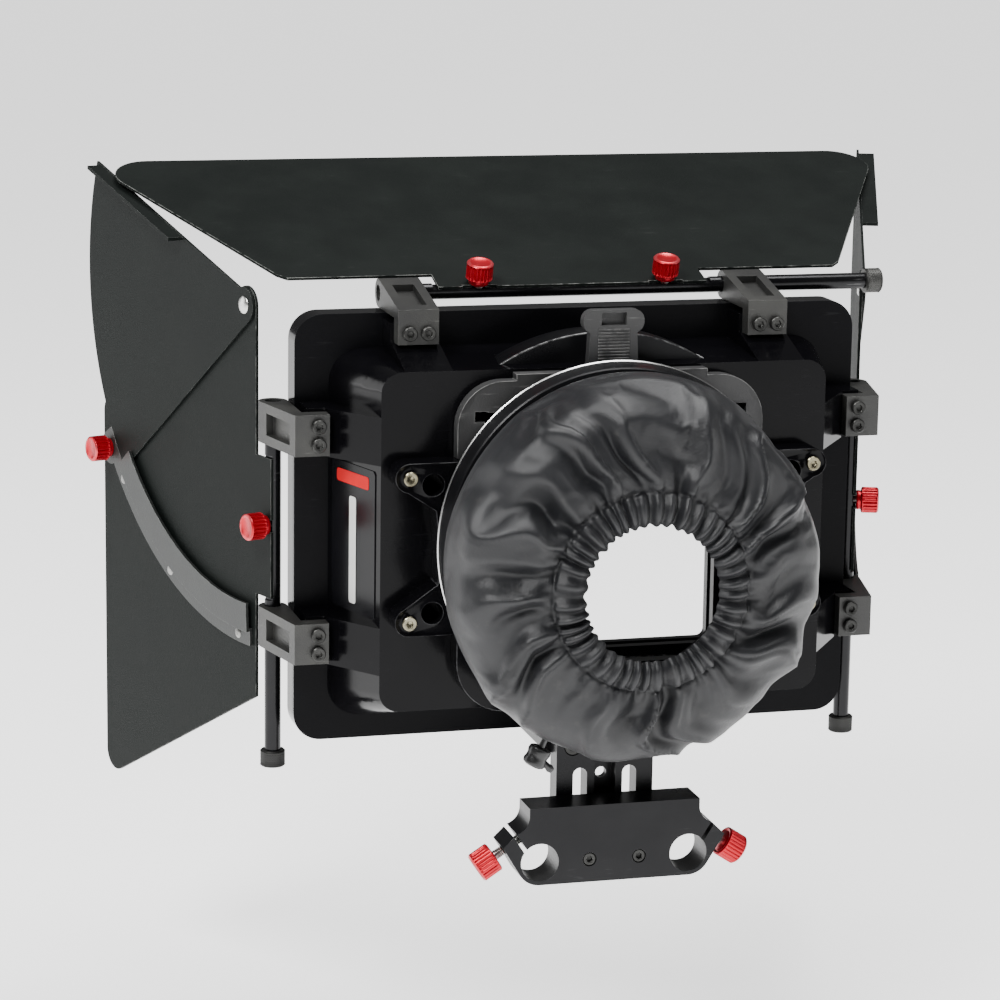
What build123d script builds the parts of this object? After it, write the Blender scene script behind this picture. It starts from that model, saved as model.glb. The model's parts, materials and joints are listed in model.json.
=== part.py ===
"""Matte box on a 15 mm rod clamp: housing, filter stages, donut and hinged flags.

Millimetres. +X is right for the operator behind the box, +Y points at the scene and +Z is up.
The origin lies midway between the two rod bores, on the rear face of the rod clamp.
"""

import os
from math import cos, radians, sin

from build123d import *

# Fits
RUNNING_GAP = 0.05
SCREW_GAP = 0.05
SLIDE_GAP = 0.05
MOVING_GAP = 0.3

# Rod clamp
ROD_SPACING = 60.0
ROD_BORE_R = 7.55
CLAMP_DEPTH = 15.1
CLAMP_TOP = 21.75
CLAMP_WALL_R = 9.1
LUG_LEAN = 33.0
LUG_SLOT = 1.6
LUG_SLOT_TOP = 2.9
LUG_SCREW_REACH = 10.2
LUG_SCREW_Y = 7.5
CLAMP_KNOB_R = 6.0
CLAMP_KNOB_H = 8.5
CLAMP_KNOB_SEAT = 12.8
CLAMP_SHANK = 18.8

# Height plate and its slide
PLATE_W = 39.2
PLATE_REAR = CLAMP_DEPTH + SLIDE_GAP
PLATE_FRONT = 23.8
PLATE_BOTTOM = -9.0
PLATE_TOP = 56.0
SLOT_X = 10.0
SLOT_W = 5.7
SLOT_BOTTOM = -2.95
SLOT_TOP = 32.4
PLATE_SCREWS = [(x, z) for x in (-13.0, 13.0) for z in (41.0, 51.0)]

# Housing
LENS_Z = 124.0
HOUSING_REAR = 22.4
HOUSING_WALL = 2.5
HOOD_REAR = 61.2
HOOD_FRONT = 73.2
HOOD_HALF_W = 114.1
HOOD_BOTTOM = 36.7
HOOD_TOP = 206.1
HOOD_WALL = 3.0
HOOD_CORNER = 11.0
REAR_APERTURE_R = 60.0
PAD_HALF_W = 22.0

# Rotating stage
DRUM_R = 77.5
DRUM_REAR = 30.0
DRUM_FRONT = 44.0
DRUM_SEAT_R = DRUM_R + MOVING_GAP
CRADLE_R = 82.0
RETAINER_REAR = DRUM_FRONT + MOVING_GAP
RETAINER_T = 2.5
RETAINER_SCREWS = [(x, z) for x in (-74.0, 74.0) for z in (70.0, 178.0)]
POST_R = 5.0

# Rear stage
FRAME_REAR = 10.7
FRAME_TOP = 156.5
FRAME_BOTTOM = 89.5
BORE_R = 56.5
CHANNEL_HALF_W = 57.6
CHANNEL_REAR = 15.2
CHANNEL_BOTTOM = 60.0
POCKET_HALF_W = 60.8
POCKET_BOTTOM = 57.6
EAR_SCREWS = [(x, z) for x in (-80.1, 80.1) for z in (95.0, 150.8)]
EAR_HOLES = [(x, z) for x in (-71.1, 71.1) for z in (98.4, 148.0)]
TRAY_REAR = 15.5
TRAY_FRONT = 21.5
TRAY_TOP = 188.5
RING_R = 69.8
RING_REAR = 2.0

# Hinges
HINGE_X = 119.9
HINGE_Y = 73.6
HINGE_TOP_Z = 211.9
PIN_R = 3.2
PIN_FLAT = 1.8
BARREL_R = 5.6
BRACKET_W = 16.0
SIDE_BRACKET_Z = (81.0, 162.8)
TOP_BRACKET_X = 70.3
GUSSET_FACE = 46.9
GUSSET_W = 18.6
PIN_HEAD_R = 5.0

# Flags
SIDE_ANGLE = 19.0
TOP_ANGLE = 16.5
SHEET_T = 1.2
SHEET_OUTER = PIN_FLAT + SHEET_T
FAN_INNER = 3.3
FAN_OUTER = 4.3
FAN_R = 128.5
FAN_LIP = 7.5
PIVOT = (15.4, 206.5)
PIVOT_R = 2.0
GUIDE_INNER = 118.5
GUIDE_STEP = 129.0
GUIDE_OUTER = 136.0
GUIDE_ANGLES = (-31.0, -92.0)
GUIDE_RIVET_R = 132.5
GUIDE_RIVET_ANGLES = (-41.0, -63.0, -88.0)
FAN_LOCK = (127.3, 131.0)
SIDE_KNOB_Z = 121.6
TOP_KNOB_X = 38.2
KNOB_R = 5.3
KNOB_NECK_R = 4.0
KNOB_NECK_H = 2.0
KNOB_CAP_H = 7.1
SHANK_R = 2.0


def facing_rear(y):
    """Plane at this depth whose sketch is drawn as (x, z) seen from behind the box."""
    return Plane(origin=(0, y, 0), x_dir=(1, 0, 0), z_dir=(0, -1, 0))


def left_panel(offset):
    """Plane parallel to the left flag, this far outboard of its hinge axis, drawn as (reach, z)."""
    lean = radians(SIDE_ANGLE)
    foot = (-HINGE_X - offset * cos(lean), HINGE_Y - offset * sin(lean), 0)
    return Plane(origin=foot, x_dir=(-sin(lean), cos(lean), 0), z_dir=(cos(lean), sin(lean), 0))


def left_outboard(offset, reach, height):
    """Plane facing outboard at one point of the left flag."""
    lean = radians(SIDE_ANGLE)
    point = left_panel(offset).from_local_coords((reach, height, 0))
    return Plane(origin=point, z_dir=(-cos(lean), -sin(lean), 0))


def top_panel(offset):
    """Plane parallel to the top flag, this far above its hinge axis, drawn as (x, reach)."""
    tilt = radians(TOP_ANGLE)
    origin = (0, HINGE_Y - offset * sin(tilt), HINGE_TOP_Z + offset * cos(tilt))
    return Plane(origin=origin, x_dir=(1, 0, 0), z_dir=(0, -sin(tilt), cos(tilt)))


def lug_plane(height):
    """Plane across the right clamp screw, this far along it from the bore axis."""
    lean = radians(LUG_LEAN)
    origin = (ROD_SPACING / 2 + height * cos(lean), 0, -height * sin(lean))
    return Plane(origin=origin, x_dir=(sin(lean), 0, cos(lean)), z_dir=(cos(lean), 0, -sin(lean)))


def polar(centre, radius, angle):
    """Point at a radius and angle about a centre."""
    return (
        centre[0] + radius * cos(radians(angle)),
        centre[1] + radius * sin(radians(angle)),
    )


def block(rear_y, front_y, half_w, bottom, top, corner):
    """Upright block with rounded corners, from one depth to another."""
    with BuildPart() as solid:
        with BuildSketch(facing_rear(front_y)):
            with Locations((0, (bottom + top) / 2)):
                RectangleRounded(2 * half_w, top - bottom, corner)
        extrude(amount=front_y - rear_y)
    return solid.part


def tapered_block(rear, front):
    """Loft between two rounded rectangles given as (y, half width, bottom, top, corner)."""
    with BuildPart() as solid:
        for y, half_w, bottom, top, corner in (rear, front):
            with BuildSketch(facing_rear(y)):
                with Locations((0, (bottom + top) / 2)):
                    RectangleRounded(2 * half_w, top - bottom, corner)
        loft()
    return solid.part


def rods(seat, centres, radius, length):
    """Round rods of one radius standing on a plane."""
    with BuildPart() as solid:
        with BuildSketch(seat):
            with Locations(*centres):
                Circle(radius)
        extrude(amount=length)
    return solid.part


def screws(seat, centres, head_r, head_h, shank_r, shank_l):
    """Socket screws whose heads stand on a plane and whose shanks go below it."""
    with BuildPart() as solid:
        add(rods(seat, centres, head_r, head_h))
        add(rods(seat, centres, shank_r, -shank_l))
        with BuildSketch(seat.offset(head_h)):
            with Locations(*centres):
                RegularPolygon(radius=shank_r, side_count=6)
        extrude(amount=-head_h / 2, mode=Mode.SUBTRACT)
    return solid.part


def thumbscrew(seat, cap_r, cap_h, neck_h, shank_l):
    """Thumbscrew with its base on a plane: neck and cap above, threaded shank below."""
    with BuildPart() as solid:
        add(rods(seat, [(0, 0)], SHANK_R, -shank_l))
        add(rods(seat, [(0, 0)], KNOB_NECK_R if neck_h else SHANK_R, neck_h or cap_h))
        add(rods(seat.offset(neck_h), [(0, 0)], cap_r, cap_h))
        chamfer(solid.faces().sort_by(Axis(seat.origin, seat.z_dir))[-1].edges(), 0.6)
    return solid.part


def hinge_bracket(seat):
    """Hinge bracket on a plane drawn as (distance past the hood edge, y), centred on its width."""
    outer_foot, outer_top = (4.1, 39.9), (11.35, 72.5)
    along = Vector(outer_top[0] - outer_foot[0], outer_top[1] - outer_foot[1]).normalized()
    across = Vector(along.Y, -along.X)
    start, depth, length = Vector(*outer_foot) + along * 5, 3.0, 22.0
    pocket = [
        start + across,
        start + along * length + across,
        start + along * length - across * depth,
        start - across * depth,
    ]
    pin = (HINGE_X - HOOD_HALF_W, HINGE_Y)
    inner = pin[0] - BARREL_R
    with BuildPart() as solid:
        with BuildSketch(seat):
            foot = [(-9.4, 39.9), outer_foot, outer_top, pin]
            Polygon(*foot, (inner, HINGE_Y), (inner, GUSSET_FACE), (-9.4, GUSSET_FACE), align=None)
            with Locations(pin):
                Circle(BARREL_R)
        extrude(amount=BRACKET_W / 2, both=True)
        with BuildSketch(seat):
            Polygon(*[(corner.X, corner.Y) for corner in pocket], align=None)
        extrude(amount=4.3, both=True, mode=Mode.SUBTRACT)
        with BuildSketch(seat):
            with Locations(pin):
                Circle(PIN_R + RUNNING_GAP)
        extrude(amount=BRACKET_W, both=True, mode=Mode.SUBTRACT)
    return solid.part


def arc_band(inner, outer, start, end):
    """Flat band between two radii and two angles about the fan pivot."""
    with BuildSketch() as band:
        with BuildLine():
            far = CenterArc(PIVOT, outer, start, end - start)
            near = CenterArc(PIVOT, inner, start, end - start)
            Line(far @ 0, near @ 0)
            Line(far @ 1, near @ 1)
        make_face()
    return band.sketch


def bracket_screw_centres(centre):
    """Centres of the two screws through a bracket foot, across its width."""
    return [centre - 3.6, centre + 3.6]


SHELL_REAR = (HOUSING_REAR, 88.8, 57.1, 189.3, 8.0)
SHELL_FRONT = (HOOD_REAR, 100.6, 46.0, 192.7, 13.0)
CAVITY_REAR = (HOUSING_REAR + HOUSING_WALL, 87.1, 58.9, 187.0, 6.0)
CAVITY_FRONT = (HOOD_REAR, 98.1, 48.5, 190.2, 11.0)
SIDE_SCREW_X = HOOD_HALF_W - 5.0
TOP_SCREW_Z = HOOD_TOP - 5.0
BRACKET_SCREWS = [
    (side * SIDE_SCREW_X, z)
    for side in (-1, 1)
    for centre in SIDE_BRACKET_Z
    for z in bracket_screw_centres(centre)
] + [(side * x, TOP_SCREW_Z) for side in (-1, 1) for x in bracket_screw_centres(TOP_BRACKET_X)]
HOOD_SCREWS = [(x, z) for x in (-106.0, 106.0) for z in SIDE_BRACKET_Z] + [
    (x, 199.0) for x in (-TOP_BRACKET_X, TOP_BRACKET_X)
]

# Rod clamp: right half, then mirrored
bore_centre = (ROD_SPACING / 2, 0)
with BuildPart() as rod_clamp:
    with BuildSketch(facing_rear(CLAMP_DEPTH)):
        with BuildLine():
            wall = CenterArc(bore_centre, CLAMP_WALL_R, -90, 90 - LUG_LEAN)
            Line(wall @ 1, (44.7, 6.7))
            Line((44.7, 6.7), (39.3, 11.9))
            ThreePointArc((39.3, 11.9), (35.7, 14.4), (34.3, 18.5))
            Polyline((34.3, 18.5), (34.3, CLAMP_TOP), (0, CLAMP_TOP), (0, -CLAMP_WALL_R), wall @ 0)
        make_face()
    extrude(amount=CLAMP_DEPTH)
    add(rods(facing_rear(CLAMP_DEPTH), [bore_centre], ROD_BORE_R, CLAMP_DEPTH), mode=Mode.SUBTRACT)
    with BuildSketch(lug_plane(LUG_SLOT_TOP)):
        with Locations((0, -CLAMP_DEPTH / 2)):
            Rectangle(25, CLAMP_DEPTH + 2, align=(Align.MIN, Align.CENTER))
    extrude(amount=-LUG_SLOT, mode=Mode.SUBTRACT)
    lug_screw = [(LUG_SCREW_REACH, -LUG_SCREW_Y)]
    add(rods(lug_plane(-7.0), lug_screw, SHANK_R + RUNNING_GAP, 20.0), mode=Mode.SUBTRACT)
    add(rods(facing_rear(3.2), [(SLOT_X, 0)], 2.8, 3.2), mode=Mode.SUBTRACT)
    add(rods(facing_rear(CLAMP_DEPTH), [(SLOT_X, 0)], 1.5 + SCREW_GAP, 15.0), mode=Mode.SUBTRACT)
    mirror(about=Plane.YZ)

slide_centres = [(-SLOT_X, 0), (SLOT_X, 0)]
with BuildPart() as clamp_slide_screws:
    add(screws(facing_rear(3.2), slide_centres, 2.65, 3.0, 1.5, 23.0))

with BuildPart() as clamp_slide_nuts:
    nut_face = PLATE_FRONT + SLIDE_GAP
    add(rods(facing_rear(nut_face), slide_centres, 2.75, nut_face - CLAMP_DEPTH))
    add(rods(facing_rear(nut_face + 2.6), slide_centres, 4.6, 2.6))
    add(rods(facing_rear(nut_face + 3), slide_centres, 1.5 + SCREW_GAP, 15), mode=Mode.SUBTRACT)

with BuildPart() as clamp_knob_right:
    knob_seat = lug_plane(CLAMP_KNOB_SEAT)
    knob_seat.origin = knob_seat.from_local_coords((LUG_SCREW_REACH, -LUG_SCREW_Y, 0))
    add(thumbscrew(knob_seat, CLAMP_KNOB_R, CLAMP_KNOB_H, 0, CLAMP_SHANK))

with BuildPart() as clamp_knob_left:
    mirror(clamp_knob_right.part, about=Plane.YZ)

# Height plate
with BuildPart() as height_plate:
    add(block(PLATE_REAR, PLATE_FRONT, PLATE_W / 2, PLATE_BOTTOM, PLATE_TOP, 1.5))
    with BuildSketch(facing_rear(PLATE_FRONT)):
        with Locations(*[(x, (SLOT_BOTTOM + SLOT_TOP) / 2) for x in (-SLOT_X, SLOT_X)]):
            SlotOverall(SLOT_TOP - SLOT_BOTTOM, SLOT_W, rotation=90)
        with Locations((0, 28.6), (0, 44.0)):
            Circle(2.2)
    extrude(amount=PLATE_FRONT, mode=Mode.SUBTRACT)
    with BuildSketch(facing_rear(PLATE_REAR + 5.4)):
        with Locations((0, 23.0)):
            Rectangle(8.6, 70.0)
    extrude(amount=10, mode=Mode.SUBTRACT)
    add(rods(facing_rear(PLATE_REAR + 3.2), PLATE_SCREWS, 3.6, 5), mode=Mode.SUBTRACT)
    add(rods(facing_rear(PLATE_FRONT), PLATE_SCREWS, 2 + SCREW_GAP, 9), mode=Mode.SUBTRACT)

with BuildPart() as height_plate_screws:
    add(screws(facing_rear(PLATE_REAR + 3.2), PLATE_SCREWS, 3.5, 3.0, 2.0, 10.8))

# Rear housing: tapered shell, mounting pad, bracket gussets and the drum cradle
envelope = tapered_block(SHELL_REAR, SHELL_FRONT)
cavity = tapered_block(CAVITY_REAR, CAVITY_FRONT)
lens_axis = [(0, LENS_Z)]

with BuildPart() as drum_cradle:
    add(rods(facing_rear(RETAINER_REAR), lens_axis, CRADLE_R, RETAINER_REAR - HOUSING_REAR))
    add(rods(facing_rear(27.2), lens_axis, DRUM_SEAT_R, 5), mode=Mode.SUBTRACT)
    add(rods(facing_rear(DRUM_FRONT), lens_axis, 64, 30), mode=Mode.SUBTRACT)
    add(envelope, mode=Mode.INTERSECT)

with BuildPart() as rear_housing:
    add(envelope)
    add(block(PLATE_FRONT, HOOD_REAR, PAD_HALF_W, HOOD_BOTTOM, 60, 1.0))
    for z in SIDE_BRACKET_Z:
        with BuildSketch(Plane.XY.offset(z)):
            side_gusset = [(80, HOUSING_REAR), (88.8, HOUSING_REAR), (104.7, 45), (104.7, GUSSET_FACE)]
            Polygon(*side_gusset, (112, GUSSET_FACE), (112, HOOD_REAR), (80, HOOD_REAR), align=None)
            mirror(about=Plane.YZ)
        extrude(amount=GUSSET_W / 2, both=True)
    for x in (-TOP_BRACKET_X, TOP_BRACKET_X):
        with BuildSketch(Plane.YZ.offset(x)):
            top_gusset = [(HOUSING_REAR, 182), (HOUSING_REAR, 189.3), (45, 196.7), (GUSSET_FACE, 196.7)]
            Polygon(*top_gusset, (GUSSET_FACE, 204), (HOOD_REAR, 204), (HOOD_REAR, 182), align=None)
        extrude(amount=GUSSET_W / 2, both=True)
    add(cavity, mode=Mode.SUBTRACT)
    add(drum_cradle.part)
    add(rods(facing_rear(RETAINER_REAR), RETAINER_SCREWS, POST_R, RETAINER_REAR - HOUSING_REAR))
    drum_room = rods(facing_rear(RETAINER_REAR), lens_axis, DRUM_SEAT_R, 14 + 2 * MOVING_GAP)
    add(drum_room, mode=Mode.SUBTRACT)
    add(rods(facing_rear(30), lens_axis, REAR_APERTURE_R, 10), mode=Mode.SUBTRACT)
    add(rods(facing_rear(RETAINER_REAR), RETAINER_SCREWS, 1.5 + SCREW_GAP, 9), mode=Mode.SUBTRACT)
    add(rods(facing_rear(30), PLATE_SCREWS, 2 + SCREW_GAP, 8), mode=Mode.SUBTRACT)
    add(rods(facing_rear(54), BRACKET_SCREWS, 1.5 + SCREW_GAP, 12), mode=Mode.SUBTRACT)
    add(rods(facing_rear(HOOD_REAR), HOOD_SCREWS, 1.5 + SCREW_GAP, 7), mode=Mode.SUBTRACT)
    add(rods(facing_rear(26), EAR_SCREWS, 1.5 + SCREW_GAP, 5), mode=Mode.SUBTRACT)

# Front hood
with BuildPart() as front_hood:
    add(block(HOOD_REAR, HOOD_FRONT, HOOD_HALF_W, HOOD_BOTTOM, HOOD_TOP, HOOD_CORNER))
    inner_half_w = HOOD_HALF_W - HOOD_WALL
    inner_bottom, inner_top = HOOD_BOTTOM + HOOD_WALL, HOOD_TOP - HOOD_WALL
    hollow = block(HOOD_REAR + HOOD_WALL, 80, inner_half_w, inner_bottom, inner_top, 8.0)
    add(hollow, mode=Mode.SUBTRACT)
    add(block(50, 80, *CAVITY_FRONT[1:]), mode=Mode.SUBTRACT)
    add(rods(facing_rear(70), HOOD_SCREWS, 1.5 + SCREW_GAP, 12), mode=Mode.SUBTRACT)

hood_screw_seat = Plane(origin=(0, HOOD_REAR + HOOD_WALL, 0), x_dir=(-1, 0, 0), z_dir=(0, 1, 0))
with BuildPart() as hood_screws:
    add(screws(hood_screw_seat, HOOD_SCREWS, 2.75, 2.2, 1.5, 9.5))

# Rear stage: ear frame with the tray channel, tray, handle and donut ring
with BuildPart() as stage_frame:
    with BuildSketch(facing_rear(HOUSING_REAR)):
        upper = [(0, FRAME_TOP), (80.1, FRAME_TOP), (80.1, 150.8), (81.2, 145.3), (69.9, 137.9)]
        lower = [(68.5, 121.3), (69, 109.4), (83.4, 99.4), (80.1, 95), (80.1, FRAME_BOTTOM)]
        Polygon(*upper, *lower, (0, FRAME_BOTTOM), align=None)
        with Locations((80.1, 150.8)):
            Circle(FRAME_TOP - 150.8)
        with Locations((80.1, 95.0)):
            Circle(95.0 - FRAME_BOTTOM)
        mirror(about=Plane.YZ)
    extrude(amount=HOUSING_REAR - FRAME_REAR)
    add(block(13, HOUSING_REAR, POCKET_HALF_W, POCKET_BOTTOM, 105, 20))
    channel = block(CHANNEL_REAR, 30, CHANNEL_HALF_W, CHANNEL_BOTTOM, 260, 17)
    add(channel, mode=Mode.SUBTRACT)
    add(rods(facing_rear(30), lens_axis, BORE_R, 30), mode=Mode.SUBTRACT)
    add(rods(facing_rear(30), EAR_HOLES, 4.25, 30), mode=Mode.SUBTRACT)
    add(rods(facing_rear(30), EAR_SCREWS, 1.5 + SCREW_GAP, 30), mode=Mode.SUBTRACT)

with BuildPart() as stage_frame_screws:
    add(screws(facing_rear(FRAME_REAR), EAR_SCREWS, 3.1, 1.6, 1.5, 14))

with BuildPart() as filter_tray:
    with BuildSketch(facing_rear(TRAY_FRONT)) as tray_head:
        with Locations((0, 171.3)):
            Rectangle(121.6, 29.4)
        fillet(tray_head.vertices().group_by(Axis.Y)[-1], radius=18)
        with Locations((0, 180)):
            Rectangle(76, 2 * (TRAY_TOP - 180))
    extrude(amount=TRAY_FRONT - TRAY_REAR)
    add(block(TRAY_REAR, TRAY_FRONT, 57.3, 60.5, 175, 16.5))
    with BuildSketch(facing_rear(TRAY_FRONT)):
        with Locations((0, LENS_Z)):
            Rectangle(100, 100)
        with Locations((-51.5, 172.5), (51.5, 172.5)):
            Rectangle(5, 4)
    extrude(amount=TRAY_FRONT, mode=Mode.SUBTRACT)

with BuildPart() as tray_handle:
    with BuildSketch(facing_rear(20)):
        Polygon((-10, TRAY_TOP), (10, TRAY_TOP), (9.1, 208), (-9.1, 208), align=None)
        with Locations((0, 207.6)):
            RectangleRounded(24.1, 9, 4.2)
    extrude(amount=20 - TRAY_REAR)
    with BuildSketch(facing_rear(TRAY_REAR + 3)):
        with Locations((0, 208.6)):
            Rectangle(10, 4.8)
    extrude(amount=5, mode=Mode.SUBTRACT)

with BuildPart() as donut_ring:
    add(rods(facing_rear(FRAME_REAR), lens_axis, RING_R, FRAME_REAR - RING_REAR))
    add(rods(facing_rear(FRAME_REAR), lens_axis, BORE_R, 12), mode=Mode.SUBTRACT)

with BuildPart() as donut_accent_ring:
    add(rods(facing_rear(RING_REAR), lens_axis, 58.5, 1.4))
    add(rods(facing_rear(RING_REAR), lens_axis, BORE_R, 2), mode=Mode.SUBTRACT)

# Fabric donut as a lofted shell: (y, centre z, outer radius)
donut_sections = [(RING_REAR, 124, 67), (-18, 119, 75), (-36, 117, 66), (-42, 116, 27.5)]
with BuildPart() as donut_fabric:
    for y, z, radius in donut_sections:
        with BuildSketch(facing_rear(y)):
            with Locations((0, z)):
                Circle(radius)
    loft(ruled=True)
    for y, z, radius in donut_sections:
        with BuildSketch(facing_rear(y + (2 if y < -20 else 0))):
            with Locations((0, z)):
                Circle(radius - 2)
    loft(ruled=True, mode=Mode.SUBTRACT)
    add(rods(facing_rear(-30), [(0, 116)], 25.5, 20), mode=Mode.SUBTRACT)

with BuildPart() as donut_elastic:
    with BuildSketch(Plane.YZ):
        with Locations((-36.9, 116 + 31.5)):
            Circle(1.2)
    revolve(axis=Axis((0, 0, 116), (0, 1, 0)))

cord_root, cord_point, cord_end = (-32.9, -14, 53.2), (-36, -14, 47), (-30, -14, 41)
with BuildPart() as donut_cord_lock:
    lock_axis = Plane(origin=cord_point, z_dir=Vector(*cord_root) - Vector(*cord_point))
    with BuildSketch(lock_axis):
        Circle(4.5)
    extrude(amount=4.0, both=True)
    for start in (cord_root, cord_end):
        reach = Vector(*start) - Vector(*cord_point)
        with BuildSketch(Plane(origin=cord_point, z_dir=reach)):
            Circle(1.3)
        extrude(amount=reach.length)

# Rotating stage
with BuildPart() as rotating_stage:
    add(rods(facing_rear(DRUM_FRONT), lens_axis, DRUM_R, DRUM_FRONT - DRUM_REAR))
    add(block(20, 50, 52, LENS_Z - 52, LENS_Z + 52, 2), mode=Mode.SUBTRACT)

with BuildPart() as rotating_filter_frame:
    add(block(31, 43, 51.9, LENS_Z - 51.9, LENS_Z + 51.9, 2))
    add(block(20, 50, 48, LENS_Z - 48, LENS_Z + 48, 3), mode=Mode.SUBTRACT)
    add(block(35, 39, 50, LENS_Z - 50, LENS_Z + 50, 0.5), mode=Mode.SUBTRACT)

with BuildPart() as stage_retainer:
    add(block(RETAINER_REAR, RETAINER_REAR + RETAINER_T, 82, 62, 186, 6))
    add(block(30, 60, 62, 70, 178, 4), mode=Mode.SUBTRACT)
    add(rods(facing_rear(60), RETAINER_SCREWS, 1.5 + SCREW_GAP, 30), mode=Mode.SUBTRACT)

retainer_seat = hood_screw_seat.offset(RETAINER_REAR + RETAINER_T - HOOD_REAR - HOOD_WALL)
with BuildPart() as retainer_screws:
    add(screws(retainer_seat, RETAINER_SCREWS, 2.75, 1.8, 1.5, 10))

# Hinge brackets
bracket_seats = {
    "bracket_right_upper": Plane((HOOD_HALF_W, 0, SIDE_BRACKET_Z[1]), (1, 0, 0), (0, 0, 1)),
    "bracket_right_lower": Plane((HOOD_HALF_W, 0, SIDE_BRACKET_Z[0]), (1, 0, 0), (0, 0, 1)),
    "bracket_left_upper": Plane((-HOOD_HALF_W, 0, SIDE_BRACKET_Z[1]), (-1, 0, 0), (0, 0, -1)),
    "bracket_left_lower": Plane((-HOOD_HALF_W, 0, SIDE_BRACKET_Z[0]), (-1, 0, 0), (0, 0, -1)),
    "bracket_top_right": Plane((TOP_BRACKET_X, 0, HOOD_TOP), (0, 0, 1), (-1, 0, 0)),
    "bracket_top_left": Plane((-TOP_BRACKET_X, 0, HOOD_TOP), (0, 0, 1), (-1, 0, 0)),
}
bracket_bores = rods(facing_rear(60), BRACKET_SCREWS, 1.5 + SCREW_GAP, 30)
brackets = {}
for node, seat in bracket_seats.items():
    with BuildPart() as bracket:
        add(hinge_bracket(seat))
        add(bracket_bores, mode=Mode.SUBTRACT)
    brackets[node] = bracket

with BuildPart() as bracket_screws:
    add(screws(facing_rear(39.9), BRACKET_SCREWS, 2.8, 2.4, 1.5, 13.6))

wall_lean = Vector(SHELL_FRONT[1] - SHELL_REAR[1], HOOD_REAR - HOUSING_REAR).normalized()
wall_centre = ((SHELL_REAR[1] + SHELL_FRONT[1]) / 2, (HOUSING_REAR + HOOD_REAR) / 2)
with BuildPart() as side_label:
    label_plane = Plane(
        origin=(-wall_centre[0], wall_centre[1], 121.75),
        x_dir=(-wall_lean.X, wall_lean.Y, 0),
        z_dir=(-wall_lean.Y, -wall_lean.X, 0),
    )
    with BuildSketch(label_plane):
        RectangleRounded(33, 58, 1.5)
    extrude(amount=0.4)

# Top flag and its pin
knob_points = [(-TOP_KNOB_X, 0), (TOP_KNOB_X, 0)]
with BuildPart() as top_hinge_pin:
    with BuildSketch(Plane.YZ.offset(-77)):
        with Locations((HINGE_Y, HINGE_TOP_Z)):
            Circle(PIN_R)
    extrude(amount=200)
    with BuildSketch(Plane.YZ.offset(123)):
        with Locations((HINGE_Y, HINGE_TOP_Z)):
            Circle(PIN_HEAD_R)
    extrude(amount=6.7)
    with BuildSketch(top_panel(PIN_FLAT)):
        Rectangle(114, 8)
    extrude(amount=4, mode=Mode.SUBTRACT)
    add(rods(top_panel(-5), knob_points, SHANK_R + RUNNING_GAP, 10), mode=Mode.SUBTRACT)

with BuildPart() as top_flag:
    with BuildSketch(top_panel(PIN_FLAT)) as top_outline:
        tab = [(0, -2.5), (55, -2.5), (55, 9.2)]
        Polygon(*tab, (112.5, 9.2), (116.3, 12.9), (173.2, 127), (0, 127), align=None)
        mirror(about=Plane.YZ)
        fillet(top_outline.vertices().group_by(Axis.Y)[-1], radius=15)
        with Locations(*[(x, -2.5) for x, _ in knob_points]):
            Rectangle(4.8, 5, mode=Mode.SUBTRACT)
            Rectangle(14, 2.4, mode=Mode.SUBTRACT)
        with Locations(*knob_points):
            Circle(2.4, mode=Mode.SUBTRACT)
    extrude(amount=SHEET_T)

with BuildPart() as top_knob_left:
    left_point = top_panel(SHEET_OUTER + 0.1).from_local_coords((-TOP_KNOB_X, 0, 0))
    knob_base = Plane(origin=left_point, z_dir=top_panel(0).z_dir)
    add(thumbscrew(knob_base, KNOB_R, KNOB_CAP_H, KNOB_NECK_H, 5.8))

with BuildPart() as top_knob_right:
    mirror(top_knob_left.part, about=Plane.YZ)

# Left flag, its fan, guide and pin; the right-hand parts are mirrored from these
rivet_points = [polar(PIVOT, GUIDE_RIVET_R, angle) for angle in GUIDE_RIVET_ANGLES]
with BuildPart() as left_hinge_pin:
    with BuildSketch(Plane.XY.offset(23.7)):
        with Locations((-HINGE_X, HINGE_Y)):
            Circle(PIN_HEAD_R)
    extrude(amount=6.6)
    with BuildSketch(Plane.XY.offset(23.7)):
        with Locations((-HINGE_X, HINGE_Y)):
            Circle(PIN_R)
    extrude(amount=145.3)
    with BuildSketch(left_panel(PIN_FLAT)):
        with Locations((0, 120.4)):
            Rectangle(8, 57.8)
    extrude(amount=-4, mode=Mode.SUBTRACT)
    pin_thread = rods(left_panel(5), [(0, SIDE_KNOB_Z)], SHANK_R + RUNNING_GAP, 10)
    add(pin_thread, mode=Mode.SUBTRACT)

with BuildPart() as left_flag:
    with BuildSketch(left_panel(SHEET_OUTER)) as left_outline:
        Polygon((8, 50.3), (134.5, -14.3), (134.5, 150), (18.5, 213.2), PIVOT, (8, 206.5), align=None)
        fillet(left_outline.vertices().group_by(Axis.X)[-1], radius=8)
        with Locations(PIVOT):
            Circle(7.4)
        with Locations((2.3, 120.4)):
            Rectangle(11.6, 55.8)
        with Locations((-2, SIDE_KNOB_Z)):
            Rectangle(4, 4.8, mode=Mode.SUBTRACT)
        with Locations((0, SIDE_KNOB_Z)):
            Circle(2.4, mode=Mode.SUBTRACT)
        with Locations(PIVOT):
            Circle(PIVOT_R + SCREW_GAP, mode=Mode.SUBTRACT)
        with Locations(*rivet_points):
            Circle(1.5 + SCREW_GAP, mode=Mode.SUBTRACT)
    extrude(amount=SHEET_T)
    add(rods(left_panel(PIN_FLAT), [FAN_LOCK], 4.0, 2.4))
    add(rods(left_panel(6), [FAN_LOCK], SHANK_R + RUNNING_GAP, 10), mode=Mode.SUBTRACT)

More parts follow.
